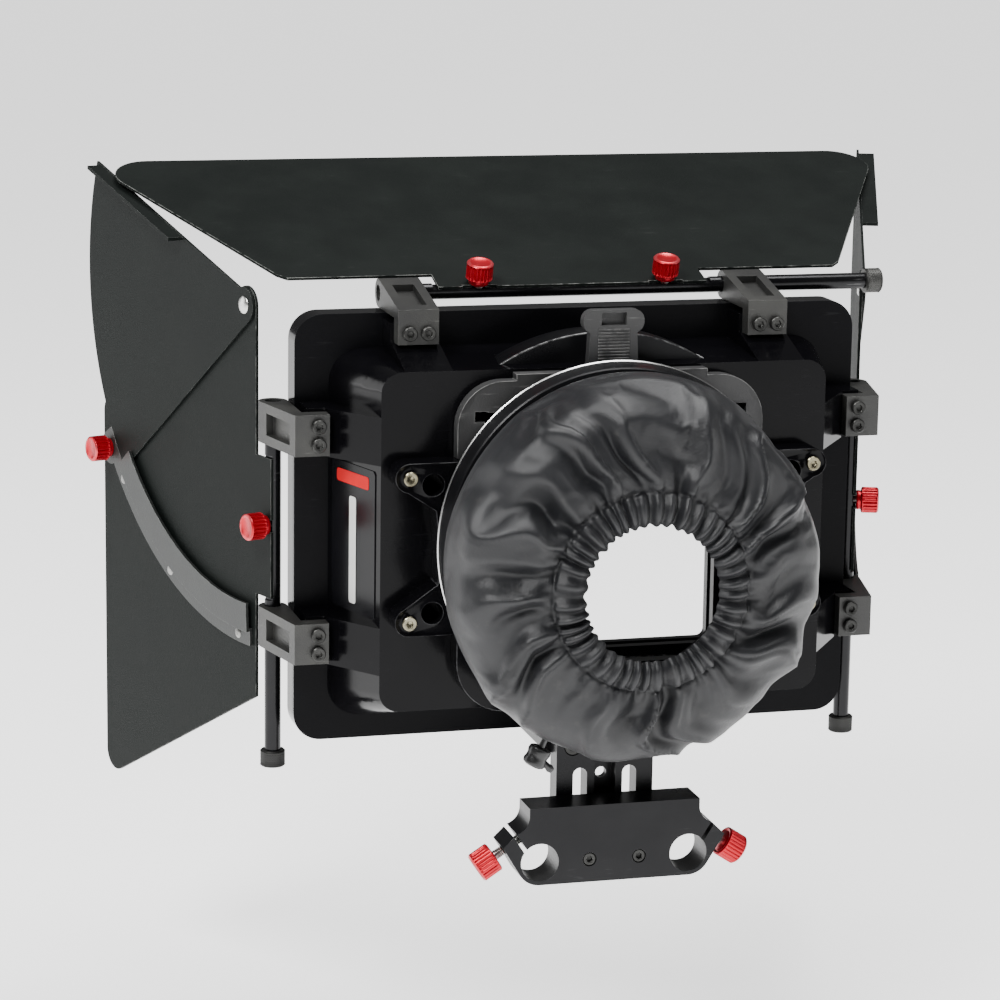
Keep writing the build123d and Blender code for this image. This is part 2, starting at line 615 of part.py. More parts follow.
with BuildPart() as left_arc_guide:
    with BuildSketch(left_panel(4.2)):
        add(arc_band(GUIDE_STEP, GUIDE_OUTER, *GUIDE_ANGLES))
        with Locations(FAN_LOCK):
            Circle(7)
        add(arc_band(110, GUIDE_STEP, -25, -95), mode=Mode.SUBTRACT)
    extrude(amount=1.2)
    with BuildSketch(left_panel(5.8)):
        add(arc_band(GUIDE_STEP, GUIDE_STEP + 1.2, -38.5, GUIDE_ANGLES[1]))
    extrude(amount=2.8)
    with BuildSketch(left_panel(5.8)):
        add(arc_band(GUIDE_INNER, GUIDE_STEP + 1.2, -38.5, GUIDE_ANGLES[1]))
    extrude(amount=1.2)
    add(rods(left_panel(6), rivet_points, 1.5 + SCREW_GAP, 5), mode=Mode.SUBTRACT)
    add(rods(left_panel(6), [FAN_LOCK], SHANK_R + RUNNING_GAP, 5), mode=Mode.SUBTRACT)

with BuildPart() as left_flag_rivets:
    add(rods(left_panel(4.8), rivet_points, 2.2, 0.6))
    add(rods(left_panel(4.2), rivet_points, 1.5, 2.4))
    add(rods(left_panel(PIN_FLAT), rivet_points, 2.4, 0.6))
    add(rods(left_panel(5.35), [PIVOT], 3.5, 1.0))
    add(rods(left_panel(4.35), [PIVOT], PIVOT_R, 2.55))
    add(rods(left_panel(PIN_FLAT), [PIVOT], 3.0, 0.8))

lip_along = (cos(radians(17.6)), sin(radians(17.6)))
lip_start, lip_end = (63.8, 227.3), (132.5, 249.1)
with BuildPart() as left_fan:
    with BuildSketch(left_panel(FAN_OUTER)):
        with Locations(PIVOT):
            Circle(FAN_R)
        wedge = [(12.6, 211.1), (146, 253.4), (175, 206.5), (138.1, 106.5), (9.7, 201.9)]
        Polygon(*wedge, align=None, mode=Mode.INTERSECT)
        with Locations(PIVOT):
            Circle(7.1)
            Circle(PIVOT_R + RUNNING_GAP, mode=Mode.SUBTRACT)
    extrude(amount=FAN_OUTER - FAN_INNER)
    with BuildSketch(left_panel(FAN_INNER + FAN_LIP)):
        with BuildLine():
            Polyline(
                lip_start,
                lip_end,
                (lip_end[0] + 0.5 * lip_along[1], lip_end[1] - 1.4 * lip_along[0]),
                (lip_start[0] + 0.5 * lip_along[1], lip_start[1] - 1.4 * lip_along[0]),
                close=True,
            )
        make_face()
    extrude(amount=FAN_LIP)

with BuildPart() as left_flag_knob:
    rod_seat = left_outboard(SHEET_OUTER + 0.1, 0, SIDE_KNOB_Z)
    add(thumbscrew(rod_seat, KNOB_R, KNOB_CAP_H, KNOB_NECK_H, 5.8))

with BuildPart() as left_fan_knob:
    add(thumbscrew(left_outboard(4.3, *FAN_LOCK), KNOB_R, KNOB_CAP_H, KNOB_NECK_H, 5.4))

left_parts = {
    "hinge_pin": left_hinge_pin,
    "flag": left_flag,
    "arc_guide": left_arc_guide,
    "flag_rivets": left_flag_rivets,
    "fan": left_fan,
    "flag_knob": left_flag_knob,
    "fan_knob": left_fan_knob,
}
right_parts = {}
for name, left_part in left_parts.items():
    with BuildPart() as right_part:
        mirror(left_part.part, about=Plane.YZ)
    right_parts[name] = right_part

nodes = {
    "rod_clamp": rod_clamp,
    "clamp_slide_screws": clamp_slide_screws,
    "clamp_slide_nuts": clamp_slide_nuts,
    "clamp_knob_left": clamp_knob_left,
    "clamp_knob_right": clamp_knob_right,
    "height_plate": height_plate,
    "height_plate_screws": height_plate_screws,
    "rear_housing": rear_housing,
    "front_hood": front_hood,
    "hood_screws": hood_screws,
    "stage_frame": stage_frame,
    "stage_frame_screws": stage_frame_screws,
    "filter_tray": filter_tray,
    "tray_handle": tray_handle,
    "donut_ring": donut_ring,
    "donut_accent_ring": donut_accent_ring,
    "donut_fabric": donut_fabric,
    "donut_elastic": donut_elastic,
    "donut_cord_lock": donut_cord_lock,
    "rotating_stage": rotating_stage,
    "rotating_filter_frame": rotating_filter_frame,
    "stage_retainer": stage_retainer,
    "retainer_screws": retainer_screws,
    **brackets,
    "bracket_screws": bracket_screws,
    "side_label": side_label,
    "top_hinge_pin": top_hinge_pin,
    "top_flag": top_flag,
    "top_knob_left": top_knob_left,
    "top_knob_right": top_knob_right,
    **{f"left_{name}": part for name, part in left_parts.items()},
    **{f"right_{name}": part for name, part in right_parts.items()},
}

os.makedirs("parts", exist_ok=True)
for node, built in nodes.items():
    built.part.label = node
    export_step(built.part, f"parts/{node}.step")
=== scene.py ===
"""Looks for a rod-mounted matte box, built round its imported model. Metres throughout."""

import json
import logging
from dataclasses import dataclass, field
from enum import Enum
from math import atan2, cos, degrees, hypot, pi, radians, sin
from typing import Any, Callable, Iterable, Optional, Sequence

import bmesh
import bpy
from mathutils import Matrix, Vector, noise

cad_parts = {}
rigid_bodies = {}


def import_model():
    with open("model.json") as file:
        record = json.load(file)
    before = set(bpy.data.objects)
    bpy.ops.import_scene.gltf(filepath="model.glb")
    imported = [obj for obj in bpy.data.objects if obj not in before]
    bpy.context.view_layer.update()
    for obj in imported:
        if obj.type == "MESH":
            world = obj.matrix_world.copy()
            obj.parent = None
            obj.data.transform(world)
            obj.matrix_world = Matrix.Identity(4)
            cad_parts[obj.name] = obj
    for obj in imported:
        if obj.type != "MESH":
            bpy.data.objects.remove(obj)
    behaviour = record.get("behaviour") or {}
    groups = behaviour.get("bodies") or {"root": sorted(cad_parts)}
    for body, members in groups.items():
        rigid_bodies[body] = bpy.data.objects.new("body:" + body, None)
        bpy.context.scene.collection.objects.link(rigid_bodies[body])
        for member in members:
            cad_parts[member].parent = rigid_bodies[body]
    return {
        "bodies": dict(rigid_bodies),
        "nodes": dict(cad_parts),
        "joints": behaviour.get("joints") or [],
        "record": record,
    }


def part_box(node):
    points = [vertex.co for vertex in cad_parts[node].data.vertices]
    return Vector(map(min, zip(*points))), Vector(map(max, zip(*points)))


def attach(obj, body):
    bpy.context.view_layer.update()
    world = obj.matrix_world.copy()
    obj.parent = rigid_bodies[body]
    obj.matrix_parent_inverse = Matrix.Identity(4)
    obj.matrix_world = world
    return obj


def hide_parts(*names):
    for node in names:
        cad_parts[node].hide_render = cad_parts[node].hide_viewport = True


LOG = logging.getLogger("matte_box")
EDGE_LAYER = "edge"
Colour = tuple[float, float, float]
Outline = list[tuple[float, float]]
Pattern = Callable[[float, float], float]
SIDE_SHARE = 0.985


class Side(Enum):
    """The two hands of the box, as its operator sees them."""

    LEFT = "left"
    RIGHT = "right"


class Slot(Enum):
    """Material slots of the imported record."""

    MOULDED = "moulded_black"
    STAGE = "stage_grey"
    ANODISED = "anodised_black"
    RED = "anodised_red"
    BRACKET = "bracket_grey"
    FLAG = "flag_black"
    PIN = "pin_black"
    SCREW = "screw_black"
    STEEL = "nut_steel"
    BRASS = "screw_brass"
    CLOTH = "donut_cloth"
    ELASTIC = "elastic"
    LABEL = "label_plate"


class Signal:
    """A shader value whose operators add Math nodes to its graph."""

    def __init__(self, graph: "Graph", socket: bpy.types.NodeSocket) -> None:
        """Wrap one output socket."""
        self.graph = graph
        self.socket = socket

    def _math(self, operation: str, first: Any, second: Any) -> "Signal":
        """Add one Math node over two values."""
        return self.graph.add("ShaderNodeMath", {"operation": operation}, {0: first, 1: second})

    def __add__(self, other: Any) -> "Signal":
        """Sum."""
        return self._math("ADD", self, other)

    def __radd__(self, other: Any) -> "Signal":
        """Sum, reflected."""
        return self._math("ADD", other, self)

    def __sub__(self, other: Any) -> "Signal":
        """Difference."""
        return self._math("SUBTRACT", self, other)

    def __rsub__(self, other: Any) -> "Signal":
        """Difference, reflected."""
        return self._math("SUBTRACT", other, self)

    def __mul__(self, other: Any) -> "Signal":
        """Product."""
        return self._math("MULTIPLY", self, other)

    def __rmul__(self, other: Any) -> "Signal":
        """Product, reflected."""
        return self._math("MULTIPLY", other, self)

    def over(self, low: float, high: float) -> "Signal":
        """Ramp from 0 at low to 1 at high, held at both ends.

        Args:
            low: Value that becomes 0.
            high: Value that becomes 1.

        Returns:
            The ramped signal.
        """
        settings = {"interpolation_type": "SMOOTHSTEP"}
        return self.graph.add("ShaderNodeMapRange", settings, {0: self, 1: low, 2: high, 3: 0.0, 4: 1.0})


class Graph:
    """One material's node graph."""

    def __init__(self, name: str) -> None:
        """Start a material with an empty graph.

        Args:
            name: Name of the material.
        """
        self.material = bpy.data.materials.new(name)
        self.material.use_nodes = True
        self.tree = self.material.node_tree
        self.tree.nodes.clear()

    def add(self, kind: str, settings: dict[str, Any], inputs: dict[Any, Any], output: Any = 0) -> Signal:
        """Add one node, set it up and wire its inputs.

        Args:
            kind: Blender's node type.
            settings: Node properties, set before the sockets.
            inputs: Socket name or index to a value, a colour or a Signal.
            output: Name or index of the output to hand back.

        Returns:
            The chosen output.
        """
        node = self.tree.nodes.new(kind)
        for name, value in settings.items():
            setattr(node, name, value)
        for key, value in inputs.items():
            if isinstance(value, Signal):
                self.tree.links.new(value.socket, node.inputs[key])
            else:
                node.inputs[key].default_value = value
        return Signal(self, node.outputs[output] if node.outputs else None)

    def mix(self, factor: Any, first: Any, second: Any) -> Signal:
        """Mix two colours.

        Args:
            factor: Share of the second colour.
            first: Colour, or a Signal that carries one.
            second: Colour, or a Signal that carries one.

        Returns:
            The mixed colour.
        """
        return self.add("ShaderNodeMix", {"data_type": "RGBA"}, {0: factor, 6: rgba(first), 7: rgba(second)}, 2)

    def cloud(self, where: Signal, scale: float, detail: float = 3.0, roughness: float = 0.55) -> Signal:
        """Noise over the given coordinates, from about 0 to 1."""
        inputs = {"Vector": where, "Scale": scale, "Detail": detail, "Roughness": roughness}
        return self.add("ShaderNodeTexNoise", {}, inputs)

    def stretched(self, where: Signal, scale: Vector) -> Signal:
        """Scale coordinates unevenly before a texture reads them."""
        return self.add("ShaderNodeMapping", {}, {"Vector": where, "Scale": tuple(scale)})

    def finish(self, inputs: dict[str, Any]) -> bpy.types.Material:
        """Close the graph with one Principled surface.

        Args:
            inputs: Sockets of the Principled shader.

        Returns:
            The material.
        """
        shader = self.add("ShaderNodeBsdfPrincipled", {}, inputs)
        self.add("ShaderNodeOutputMaterial", {}, {"Surface": shader})
        return self.material


def rgba(colour: Any) -> Any:
    """Give a plain colour its alpha, and pass a Signal through."""
    return colour if isinstance(colour, Signal) else (*colour, 1.0)


@dataclass(frozen=True)
class Finish:
    """A hard surface: base colour, mottling, grain and worn edges."""

    name: str
    slot: Slot
    base: Colour
    mottle: Colour
    worn: Colour
    wear: float
    roughness: float
    swing: float
    metallic: float
    grain: float
    relief: float
    coat: float = 0.0
    scuffs: float = 0.0
    bare_metal: float = 1.0
    specular: float = 0.5

    def material(self) -> bpy.types.Material:
        """Build the material.

        Returns:
            The finished material.
        """
        graph = Graph(self.name)
        where = graph.add("ShaderNodeTexCoord", {}, {}, "Object")
        cloud = graph.cloud(where, 38.0, 4.0)
        patches = graph.cloud(where, 210.0, 3.0, 0.65)
        fine = graph.cloud(where, self.grain, 2.0)
        edge = graph.add("ShaderNodeAttribute", {"attribute_name": EDGE_LAYER}, {}, "Fac")
        rubbed = edge * patches.over(0.36, 0.62) * self.wear
        streaks = graph.cloud(graph.stretched(where, Vector((90.0, 420.0, 900.0))), 1.0, 3.0)
        scuff = streaks.over(0.6, 0.74) * cloud.over(0.5, 0.68) * self.scuffs
        body = graph.mix(cloud.over(0.34, 0.68), self.base, self.mottle)
        marked = graph.mix(scuff, body, self.worn)
        colour = graph.mix(rubbed, marked, self.worn)
        rough = (cloud - 0.5) * self.swing + (fine - 0.5) * (self.swing * 0.6) + self.roughness
        bare = (1.0 - self.metallic) * self.bare_metal
        bump_inputs = {"Height": fine + patches * 0.35, "Strength": 1.0, "Distance": self.relief}
        bump = graph.add("ShaderNodeBump", {}, bump_inputs)
        return graph.finish(
            {
                "Base Color": colour,
                "Roughness": rough + scuff * 0.2,
                "Metallic": rubbed * bare + self.metallic,
                "Normal": bump,
                "Coat Weight": self.coat,
                "Coat Roughness": 0.12,
                "Specular IOR Level": self.specular,
            }
        )


@dataclass(frozen=True)
class ClothFinish:
    """Satin woven nylon, with a weave that follows the cloth's own UV map."""

    name: str
    slot: Slot
    base: Colour
    worn: Colour
    thread: float

    def material(self) -> bpy.types.Material:
        """Build the woven material.

        Returns:
            The finished material.
        """
        graph = Graph(self.name)
        laid = graph.add("ShaderNodeTexCoord", {}, {}, "UV")
        where = graph.add("ShaderNodeTexCoord", {}, {}, "Object")
        lines = 0.3142 / self.thread
        wave = {"wave_type": "BANDS", "wave_profile": "SIN"}
        spaced = {"Vector": laid, "Scale": lines}
        warp = graph.add("ShaderNodeTexWave", {**wave, "bands_direction": "X"}, spaced, 1)
        weft = graph.add("ShaderNodeTexWave", {**wave, "bands_direction": "Y"}, spaced, 1)
        weave = warp * 0.5 + weft * 0.5
        slub = graph.cloud(graph.stretched(laid, Vector((260.0, 1500.0, 1.0))), 1.0, 3.0)
        cloud = graph.cloud(where, 26.0, 4.0)
        dust = graph.cloud(where, 150.0, 5.0, 0.7)
        shade = graph.mix(cloud.over(0.35, 0.66), self.base, tuple(c * 1.35 for c in self.base))
        threads = graph.mix(weave * 0.16 + slub * 0.2, shade, tuple(c * 0.45 for c in self.base))
        colour = graph.mix(dust.over(0.55, 0.8) * 0.35, threads, self.worn)
        height = weave * 0.35 + slub * 0.4 + dust * 0.6
        bump = graph.add("ShaderNodeBump", {}, {"Height": height, "Strength": 0.8, "Distance": 0.00016})
        return graph.finish(
            {
                "Base Color": colour,
                "Roughness": (cloud - 0.5) * 0.16 + 0.4,
                "Normal": bump,
                "Specular IOR Level": 0.45,
                "Sheen Weight": 0.06,
                "Sheen Roughness": 0.4,
            }
        )


MOULDED = Finish(
    "moulded_black_plastic", Slot.MOULDED, (0.0022, 0.0021, 0.0027), (0.0032, 0.0031, 0.0038), (0.12, 0.12, 0.125),
    wear=0.3, roughness=0.15, swing=0.08, metallic=0.0, grain=700.0, relief=0.00001, coat=0.0, scuffs=0.05,
    bare_metal=0.0, specular=0.12,
)
GRAINED = Finish(
    "grained_black_plastic", Slot.MOULDED, (0.0024, 0.0024, 0.003), (0.0034, 0.0034, 0.0042), (0.12, 0.12, 0.125),
    wear=0.35, roughness=0.32, swing=0.12, metallic=0.0, grain=1500.0, relief=0.00005, coat=0.0, scuffs=0.05,
    bare_metal=0.0, specular=0.07,
)
STAGE_GREY = Finish(
    "stage_grey_plastic", Slot.STAGE, (0.03, 0.03, 0.031), (0.042, 0.042, 0.042), (0.32, 0.32, 0.31),
    wear=0.45, roughness=0.44, swing=0.16, metallic=0.0, grain=1600.0, relief=0.00008, scuffs=0.35, bare_metal=0.0,
)
ANODISED = Finish(
    "black_anodised", Slot.ANODISED, (0.006, 0.006, 0.007), (0.01, 0.01, 0.011), (0.36, 0.36, 0.36),
    wear=0.5, roughness=0.3, swing=0.12, metallic=0.3, grain=2200.0, relief=0.00003, scuffs=0.12, specular=0.25,
)
MACHINED = Finish(
    "machined_bore", Slot.ANODISED, (0.06, 0.06, 0.062), (0.1, 0.1, 0.1), (0.4, 0.4, 0.4),
    wear=0.6, roughness=0.36, swing=0.14, metallic=0.7, grain=2600.0, relief=0.00006, scuffs=0.4,
)
# Painted highlight: a bright bare-metal band that stands in for the highlight line along the donut ring's outer
# lip.
PAINTED_HIGHLIGHT = Finish(
    "painted_highlight_band", Slot.ANODISED, (0.62, 0.62, 0.62), (0.74, 0.74, 0.73), (0.85, 0.85, 0.85),
    wear=0.4, roughness=0.26, swing=0.12, metallic=1.0, grain=2400.0, relief=0.00002,
)
RED = Finish(
    "red_anodised", Slot.RED, (0.5, 0.003, 0.014), (0.6, 0.006, 0.022), (0.9, 0.2, 0.22),
    wear=0.4, roughness=0.32, swing=0.1, metallic=0.6, grain=1800.0, relief=0.00003, coat=0.05, scuffs=0.04,
)
BRACKET = Finish(
    "bracket_grey_metal", Slot.BRACKET, (0.042, 0.042, 0.041), (0.06, 0.06, 0.056), (0.36, 0.36, 0.34),
    wear=0.5, roughness=0.42, swing=0.18, metallic=0.5, grain=1900.0, relief=0.00012, scuffs=0.45,
)
FLAG = Finish(
    "flag_powder_coat", Slot.FLAG, (0.0062, 0.008, 0.0072), (0.0088, 0.0108, 0.0098), (0.36, 0.37, 0.35),
    wear=0.75, roughness=0.56, swing=0.12, metallic=0.0, grain=2100.0, relief=0.00014, scuffs=0.02, specular=0.08,
)
GUIDE = Finish(
    "guide_worn_coat", Slot.FLAG, (0.019, 0.021, 0.02), (0.03, 0.033, 0.031), (0.32, 0.33, 0.31),
    wear=0.6, roughness=0.46, swing=0.18, metallic=0.15, grain=1700.0, relief=0.0001, scuffs=0.35,
)
PIN = Finish(
    "black_polished_rod", Slot.PIN, (0.005, 0.005, 0.006), (0.009, 0.009, 0.01), (0.4, 0.4, 0.4),
    wear=0.4, roughness=0.22, swing=0.1, metallic=0.55, grain=1500.0, relief=0.00002, scuffs=0.2,
)
KNURL = Finish(
    "knurled_grey_metal", Slot.PIN, (0.035, 0.035, 0.034), (0.06, 0.06, 0.057), (0.5, 0.5, 0.48),
    wear=0.6, roughness=0.4, swing=0.15, metallic=0.7, grain=1500.0, relief=0.00006, scuffs=0.3,
)
SCREW = Finish(
    "black_screw_steel", Slot.SCREW, (0.03, 0.03, 0.029), (0.055, 0.055, 0.052), (0.5, 0.5, 0.48),
    wear=0.65, roughness=0.36, swing=0.15, metallic=0.8, grain=2500.0, relief=0.00004, scuffs=0.4,
)
STEEL = Finish(
    "bright_steel", Slot.STEEL, (0.5, 0.5, 0.48), (0.62, 0.62, 0.6), (0.8, 0.8, 0.78),
    wear=0.5, roughness=0.28, swing=0.14, metallic=1.0, grain=2300.0, relief=0.00003, scuffs=0.2,
)
BRASS = Finish(
    "plated_brass", Slot.BRASS, (0.2, 0.18, 0.12), (0.27, 0.25, 0.18), (0.6, 0.57, 0.44),
    wear=0.5, roughness=0.26, swing=0.14, metallic=1.0, grain=2300.0, relief=0.00003, scuffs=0.2,
)
LABEL = Finish(
    "label_dark", Slot.LABEL, (0.004, 0.004, 0.005), (0.006, 0.006, 0.007), (0.2, 0.2, 0.2),
    wear=0.3, roughness=0.22, swing=0.06, metallic=0.0, grain=700.0, relief=0.00001, bare_metal=0.0, specular=0.12,
)
LABEL_PALE = Finish(
    "label_pale_band", Slot.LABEL, (0.62, 0.62, 0.6), (0.7, 0.7, 0.68), (0.4, 0.4, 0.4),
    wear=0.3, roughness=0.35, swing=0.08, metallic=0.0, grain=900.0, relief=0.00001, bare_metal=0.0,
)
LABEL_RED = Finish(
    "label_red_band", Slot.LABEL, (0.55, 0.005, 0.008), (0.62, 0.008, 0.012), (0.4, 0.1, 0.1),
    wear=0.3, roughness=0.45, swing=0.08, metallic=0.0, grain=900.0, relief=0.00001, bare_metal=0.0, specular=0.08,
)
TOGGLE = Finish(
    "toggle_black", Slot.ELASTIC, (0.005, 0.005, 0.006), (0.01, 0.01, 0.01), (0.1, 0.1, 0.1),
    wear=0.4, roughness=0.34, swing=0.12, metallic=0.0, grain=900.0, relief=0.00005, coat=0.1, bare_metal=0.0,
)
NYLON = ClothFinish("satin_nylon", Slot.CLOTH, (0.0068, 0.0071, 0.0085), (0.055, 0.053, 0.048), 0.0005)
DRESS = Finish | ClothFinish


class Workshop:
    """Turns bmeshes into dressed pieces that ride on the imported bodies."""

    def __init__(self, frame: dict[str, Any]) -> None:
        """Keep the frame and start with no materials.
        """
        self.frame = frame
        self.joints = {joint["name"]: joint for joint in frame["joints"]}
        self.owner = {
            node: body
            for body, members in frame["record"]["behaviour"]["bodies"].items()
            for node in members
        }
        self._materials: dict[str, bpy.types.Material] = {}

    def dressed(self, finish: DRESS) -> bpy.types.Material:
        """Give a finish's material, building it the first time."""
        if finish.name not in self._materials:
            self._materials[finish.name] = finish.material()
        return self._materials[finish.name]

    def piece(
        self,
        name: str,
        mesh: bmesh.types.BMesh,
        finish: DRESS,
        body: str,
        replaces: Sequence[str] = (),
        crease: float = 42.0,
        weighted: bool = True,
    ) -> bpy.types.Object:
        """Make one finished piece from a bmesh.

        Args:
            name: Name of the piece.
            mesh: Its shape, already in place.
            finish: What it is made of.
            body: CAD body that carries it.
            replaces: CAD nodes it stands for.
            crease: Angle in degrees past which an edge shades sharp.
            weighted: Whether large faces keep flat shading.

        Returns:
            The new object.
        """
        data = bpy.data.meshes.new(name)
        mesh.to_mesh(data)
        mesh.free()
        data.shade_smooth()
        data.set_sharp_from_angle(angle=radians(crease))
        made = bpy.data.objects.new(name, data)
        bpy.context.scene.collection.objects.link(made)
        data.materials.append(self.dressed(finish))
        if weighted:
            normals = made.modifiers.new("Weighted", "WEIGHTED_NORMAL")
            normals.keep_sharp = True
        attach(made, body)
        if replaces:
            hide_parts(*replaces)
        LOG.info("%s: %d faces on %s", name, len(data.polygons), body)
        return made

    def copy_of(self, node: str) -> bmesh.types.BMesh:
        """Merged copy of a CAD node's mesh, with its flat faces joined.

        Args:
            node: Name of the CAD node.

        Returns:
            A bmesh that can be shaped further.
        """
        mesh = bmesh.new()
        mesh.from_mesh(self.frame["nodes"][node].data)
        bmesh.ops.remove_doubles(mesh, verts=mesh.verts[:], dist=2e-6)
        bmesh.ops.dissolve_limit(
            mesh, angle_limit=radians(0.4), use_dissolve_boundaries=False, verts=mesh.verts[:], edges=mesh.edges[:]
        )
        bmesh.ops.triangulate(mesh, faces=[f for f in mesh.faces if len(f.verts) > 8])
        return mesh

    def refined(
        self,
        node: str,
        name: str,
        finish: DRESS,
        width: float,
        segments: int = 2,
        shape: Optional[Callable[[bmesh.types.BMesh], None]] = None,
    ) -> bpy.types.Object:
        """Stand a softened piece in for one CAD node.

        Args:
            node: CAD node to copy and hide.
            name: Name of the new piece.
            finish: What it is made of.
            width: Width of its edge rounding.
            segments: Faces across each rounding.
            shape: Extra work on the copy before its edges are rounded.

        Returns:
            The new piece.
        """
        mesh = self.copy_of(node)
        if shape:
            shape(mesh)
        soften(mesh, width, segments)
        return self.piece(name, mesh, finish, self.owner[node], [node])

    def second(self, made: bpy.types.Object, finish: DRESS, chosen: Callable[[Any], bool]) -> None:
        """Give some faces of a piece a second finish.

        Args:
            made: The piece.
            finish: What those faces are made of.
            chosen: Whether a face takes it.
        """
        made.data.materials.append(self.dressed(finish))
        for face in made.data.polygons:
            if chosen(face):
                face.material_index = 1

    def axis_of(self, joint: str, lift: float = 0.0) -> Matrix:
        """Placement whose +Z is a joint's axis.

        Args:
            joint: Name of the joint.
            lift: Distance along the axis from the joint's point.

        Returns:
            A rotation and translation in the shared frame.
        """
        found = self.joints[joint]
        return facing(Vector(found["pos_m"]), Vector(found["axis"]), lift)


def facing(point: Vector, direction: Vector, lift: float = 0.0) -> Matrix:
    """Placement at a point, with +Z along a direction.

    Args:
        point: Where it stands.
        direction: Where its +Z points.
        lift: Distance to move along that direction.

    Returns:
        The placement.
    """
    along = direction.normalized()
    return Matrix.Translation(point + along * lift) @ along.to_track_quat("Z", "Y").to_matrix().to_4x4()


def edge_layer(mesh: bmesh.types.BMesh) -> Any:
    """Give a bmesh the layer that marks worn edges, with nothing marked.

    Args:
        mesh: The bmesh.

    Returns:
        The new corner layer.
    """
    layer = mesh.loops.layers.float_color.new(EDGE_LAYER)
    mark_worn(mesh.faces, layer, 0.0)
    return layer


def mark_worn(faces: Iterable[bmesh.types.BMFace], layer: Any, share: float = 1.0) -> None:
    """Set how much the given faces wear.

    Args:
        faces: Faces of one bmesh.
        layer: Its layer of worn edges.
        share: 1 where the edge is rubbed and 0 where it is whole.
    """
    for face in faces:
        for corner in face.loops:
            corner[layer] = (share, share, share, 1.0)


def soften(mesh: bmesh.types.BMesh, width: float, segments: int = 2, sharp: float = 34.0) -> None:
    """Round a bmesh's sharp edges and mark the new faces as edges that wear.

    Args:
        mesh: The bmesh to change.
        width: Width of the rounding.
        segments: Faces across it.
        sharp: Angle in degrees past which an edge is rounded.
    """
    layer = edge_layer(mesh)
    limit = radians(sharp)
    edges = [e for e in mesh.edges if len(e.link_faces) == 2 and e.calc_face_angle(0.0) > limit]
    made = bmesh.ops.bevel(
        mesh,
        geom=edges,
        offset=width,
        offset_type="OFFSET",
        segments=segments,
        profile=0.5,
        affect="EDGES",
        clamp_overlap=True,
        material=-1,
    )
    mark_worn(made["faces"], layer)


def spun(outline: Outline, steps: int, closed: bool = False) -> bmesh.types.BMesh:
    """Spin a (radius, height) outline once round +Z and close the seam.

    Args:
        outline: Points from one end to the other.
        steps: Faces round the axis.
        closed: Whether the outline is a closed section, as a ring's is.

    Returns:
        A bmesh whose faces may point either way.
    """
    mesh = bmesh.new()
    points = [mesh.verts.new((radius, 0.0, height)) for radius, height in outline]
    pairs = list(zip(points, points[1:])) + ([(points[-1], points[0])] if closed else [])
    edges = [mesh.edges.new(pair) for pair in pairs]
    bmesh.ops.spin(
        mesh,
        geom=points + edges,
        cent=(0, 0, 0),
        axis=(0, 0, 1),
        dvec=(0, 0, 0),
        angle=2 * pi,
        steps=steps,
        use_merge=True,
        use_duplicate=False,
    )
    bmesh.ops.remove_doubles(mesh, verts=mesh.verts[:], dist=1e-7)
    return mesh


def lathe(outline: Outline, steps: int = 48, closed: bool = False) -> bmesh.types.BMesh:
    """Spin an outline round +Z, with its faces pointing outwards.

    Args:
        outline: (radius, height) points from one end to the other.
        steps: Faces round the axis.
        closed: Whether the outline is a closed section, as a ring's is.

    Returns:
        The turned bmesh.
    """
    mesh = spun(outline, steps, closed)
    bmesh.ops.recalc_face_normals(mesh, faces=mesh.faces[:])
    return mesh


def joined(parts: Iterable[bmesh.types.BMesh]) -> bmesh.types.BMesh:
    """Put several bmeshes into one, freeing them.

    Args:
        parts: The bmeshes.

    Returns:
        One bmesh that holds them all.
    """
    whole = bmesh.new()
    whole.loops.layers.float_color.new(EDGE_LAYER)
    for part in parts:
        scratch = bpy.data.meshes.new("scratch")
        part.to_mesh(scratch)
        part.free()
        whole.from_mesh(scratch)
        bpy.data.meshes.remove(scratch)
    return whole


def pressed(mesh: bmesh.types.BMesh, radius: float, span: tuple[float, float], pattern: Pattern) -> None:
    """Press a pattern into the side of a lathed piece.

    Args:
        mesh: The piece, still round +Z.
        radius: Radius of its side.
        span: Lowest and highest point of the pattern.
        pattern: Its depth at an angle and a height.
    """
    for vert in mesh.verts:
        reach = hypot(vert.co.x, vert.co.y)
        if reach > radius * SIDE_SHARE and span[0] < vert.co.z < span[1]:
            vert.co.xy *= (reach - pattern(atan2(vert.co.y, vert.co.x), vert.co.z)) / reach


def flutes(count: int, depth: float) -> Pattern:
    """Straight flutes, evenly spaced round a side."""
    return lambda turn, height: depth * max(0.0, cos(turn * count)) ** 2


def diamonds(count: int, depth: float, radius: float) -> Pattern:
    """A diamond knurl, evenly spaced round a side."""

    def groove(turn: float, height: float) -> float:
        """Depth where two sets of slanted grooves cross."""
        around, climb = turn * count, height / radius * count
        return depth * (1.0 - abs(cos((around + climb) / 2)) * abs(cos((around - climb) / 2)))

    return groove


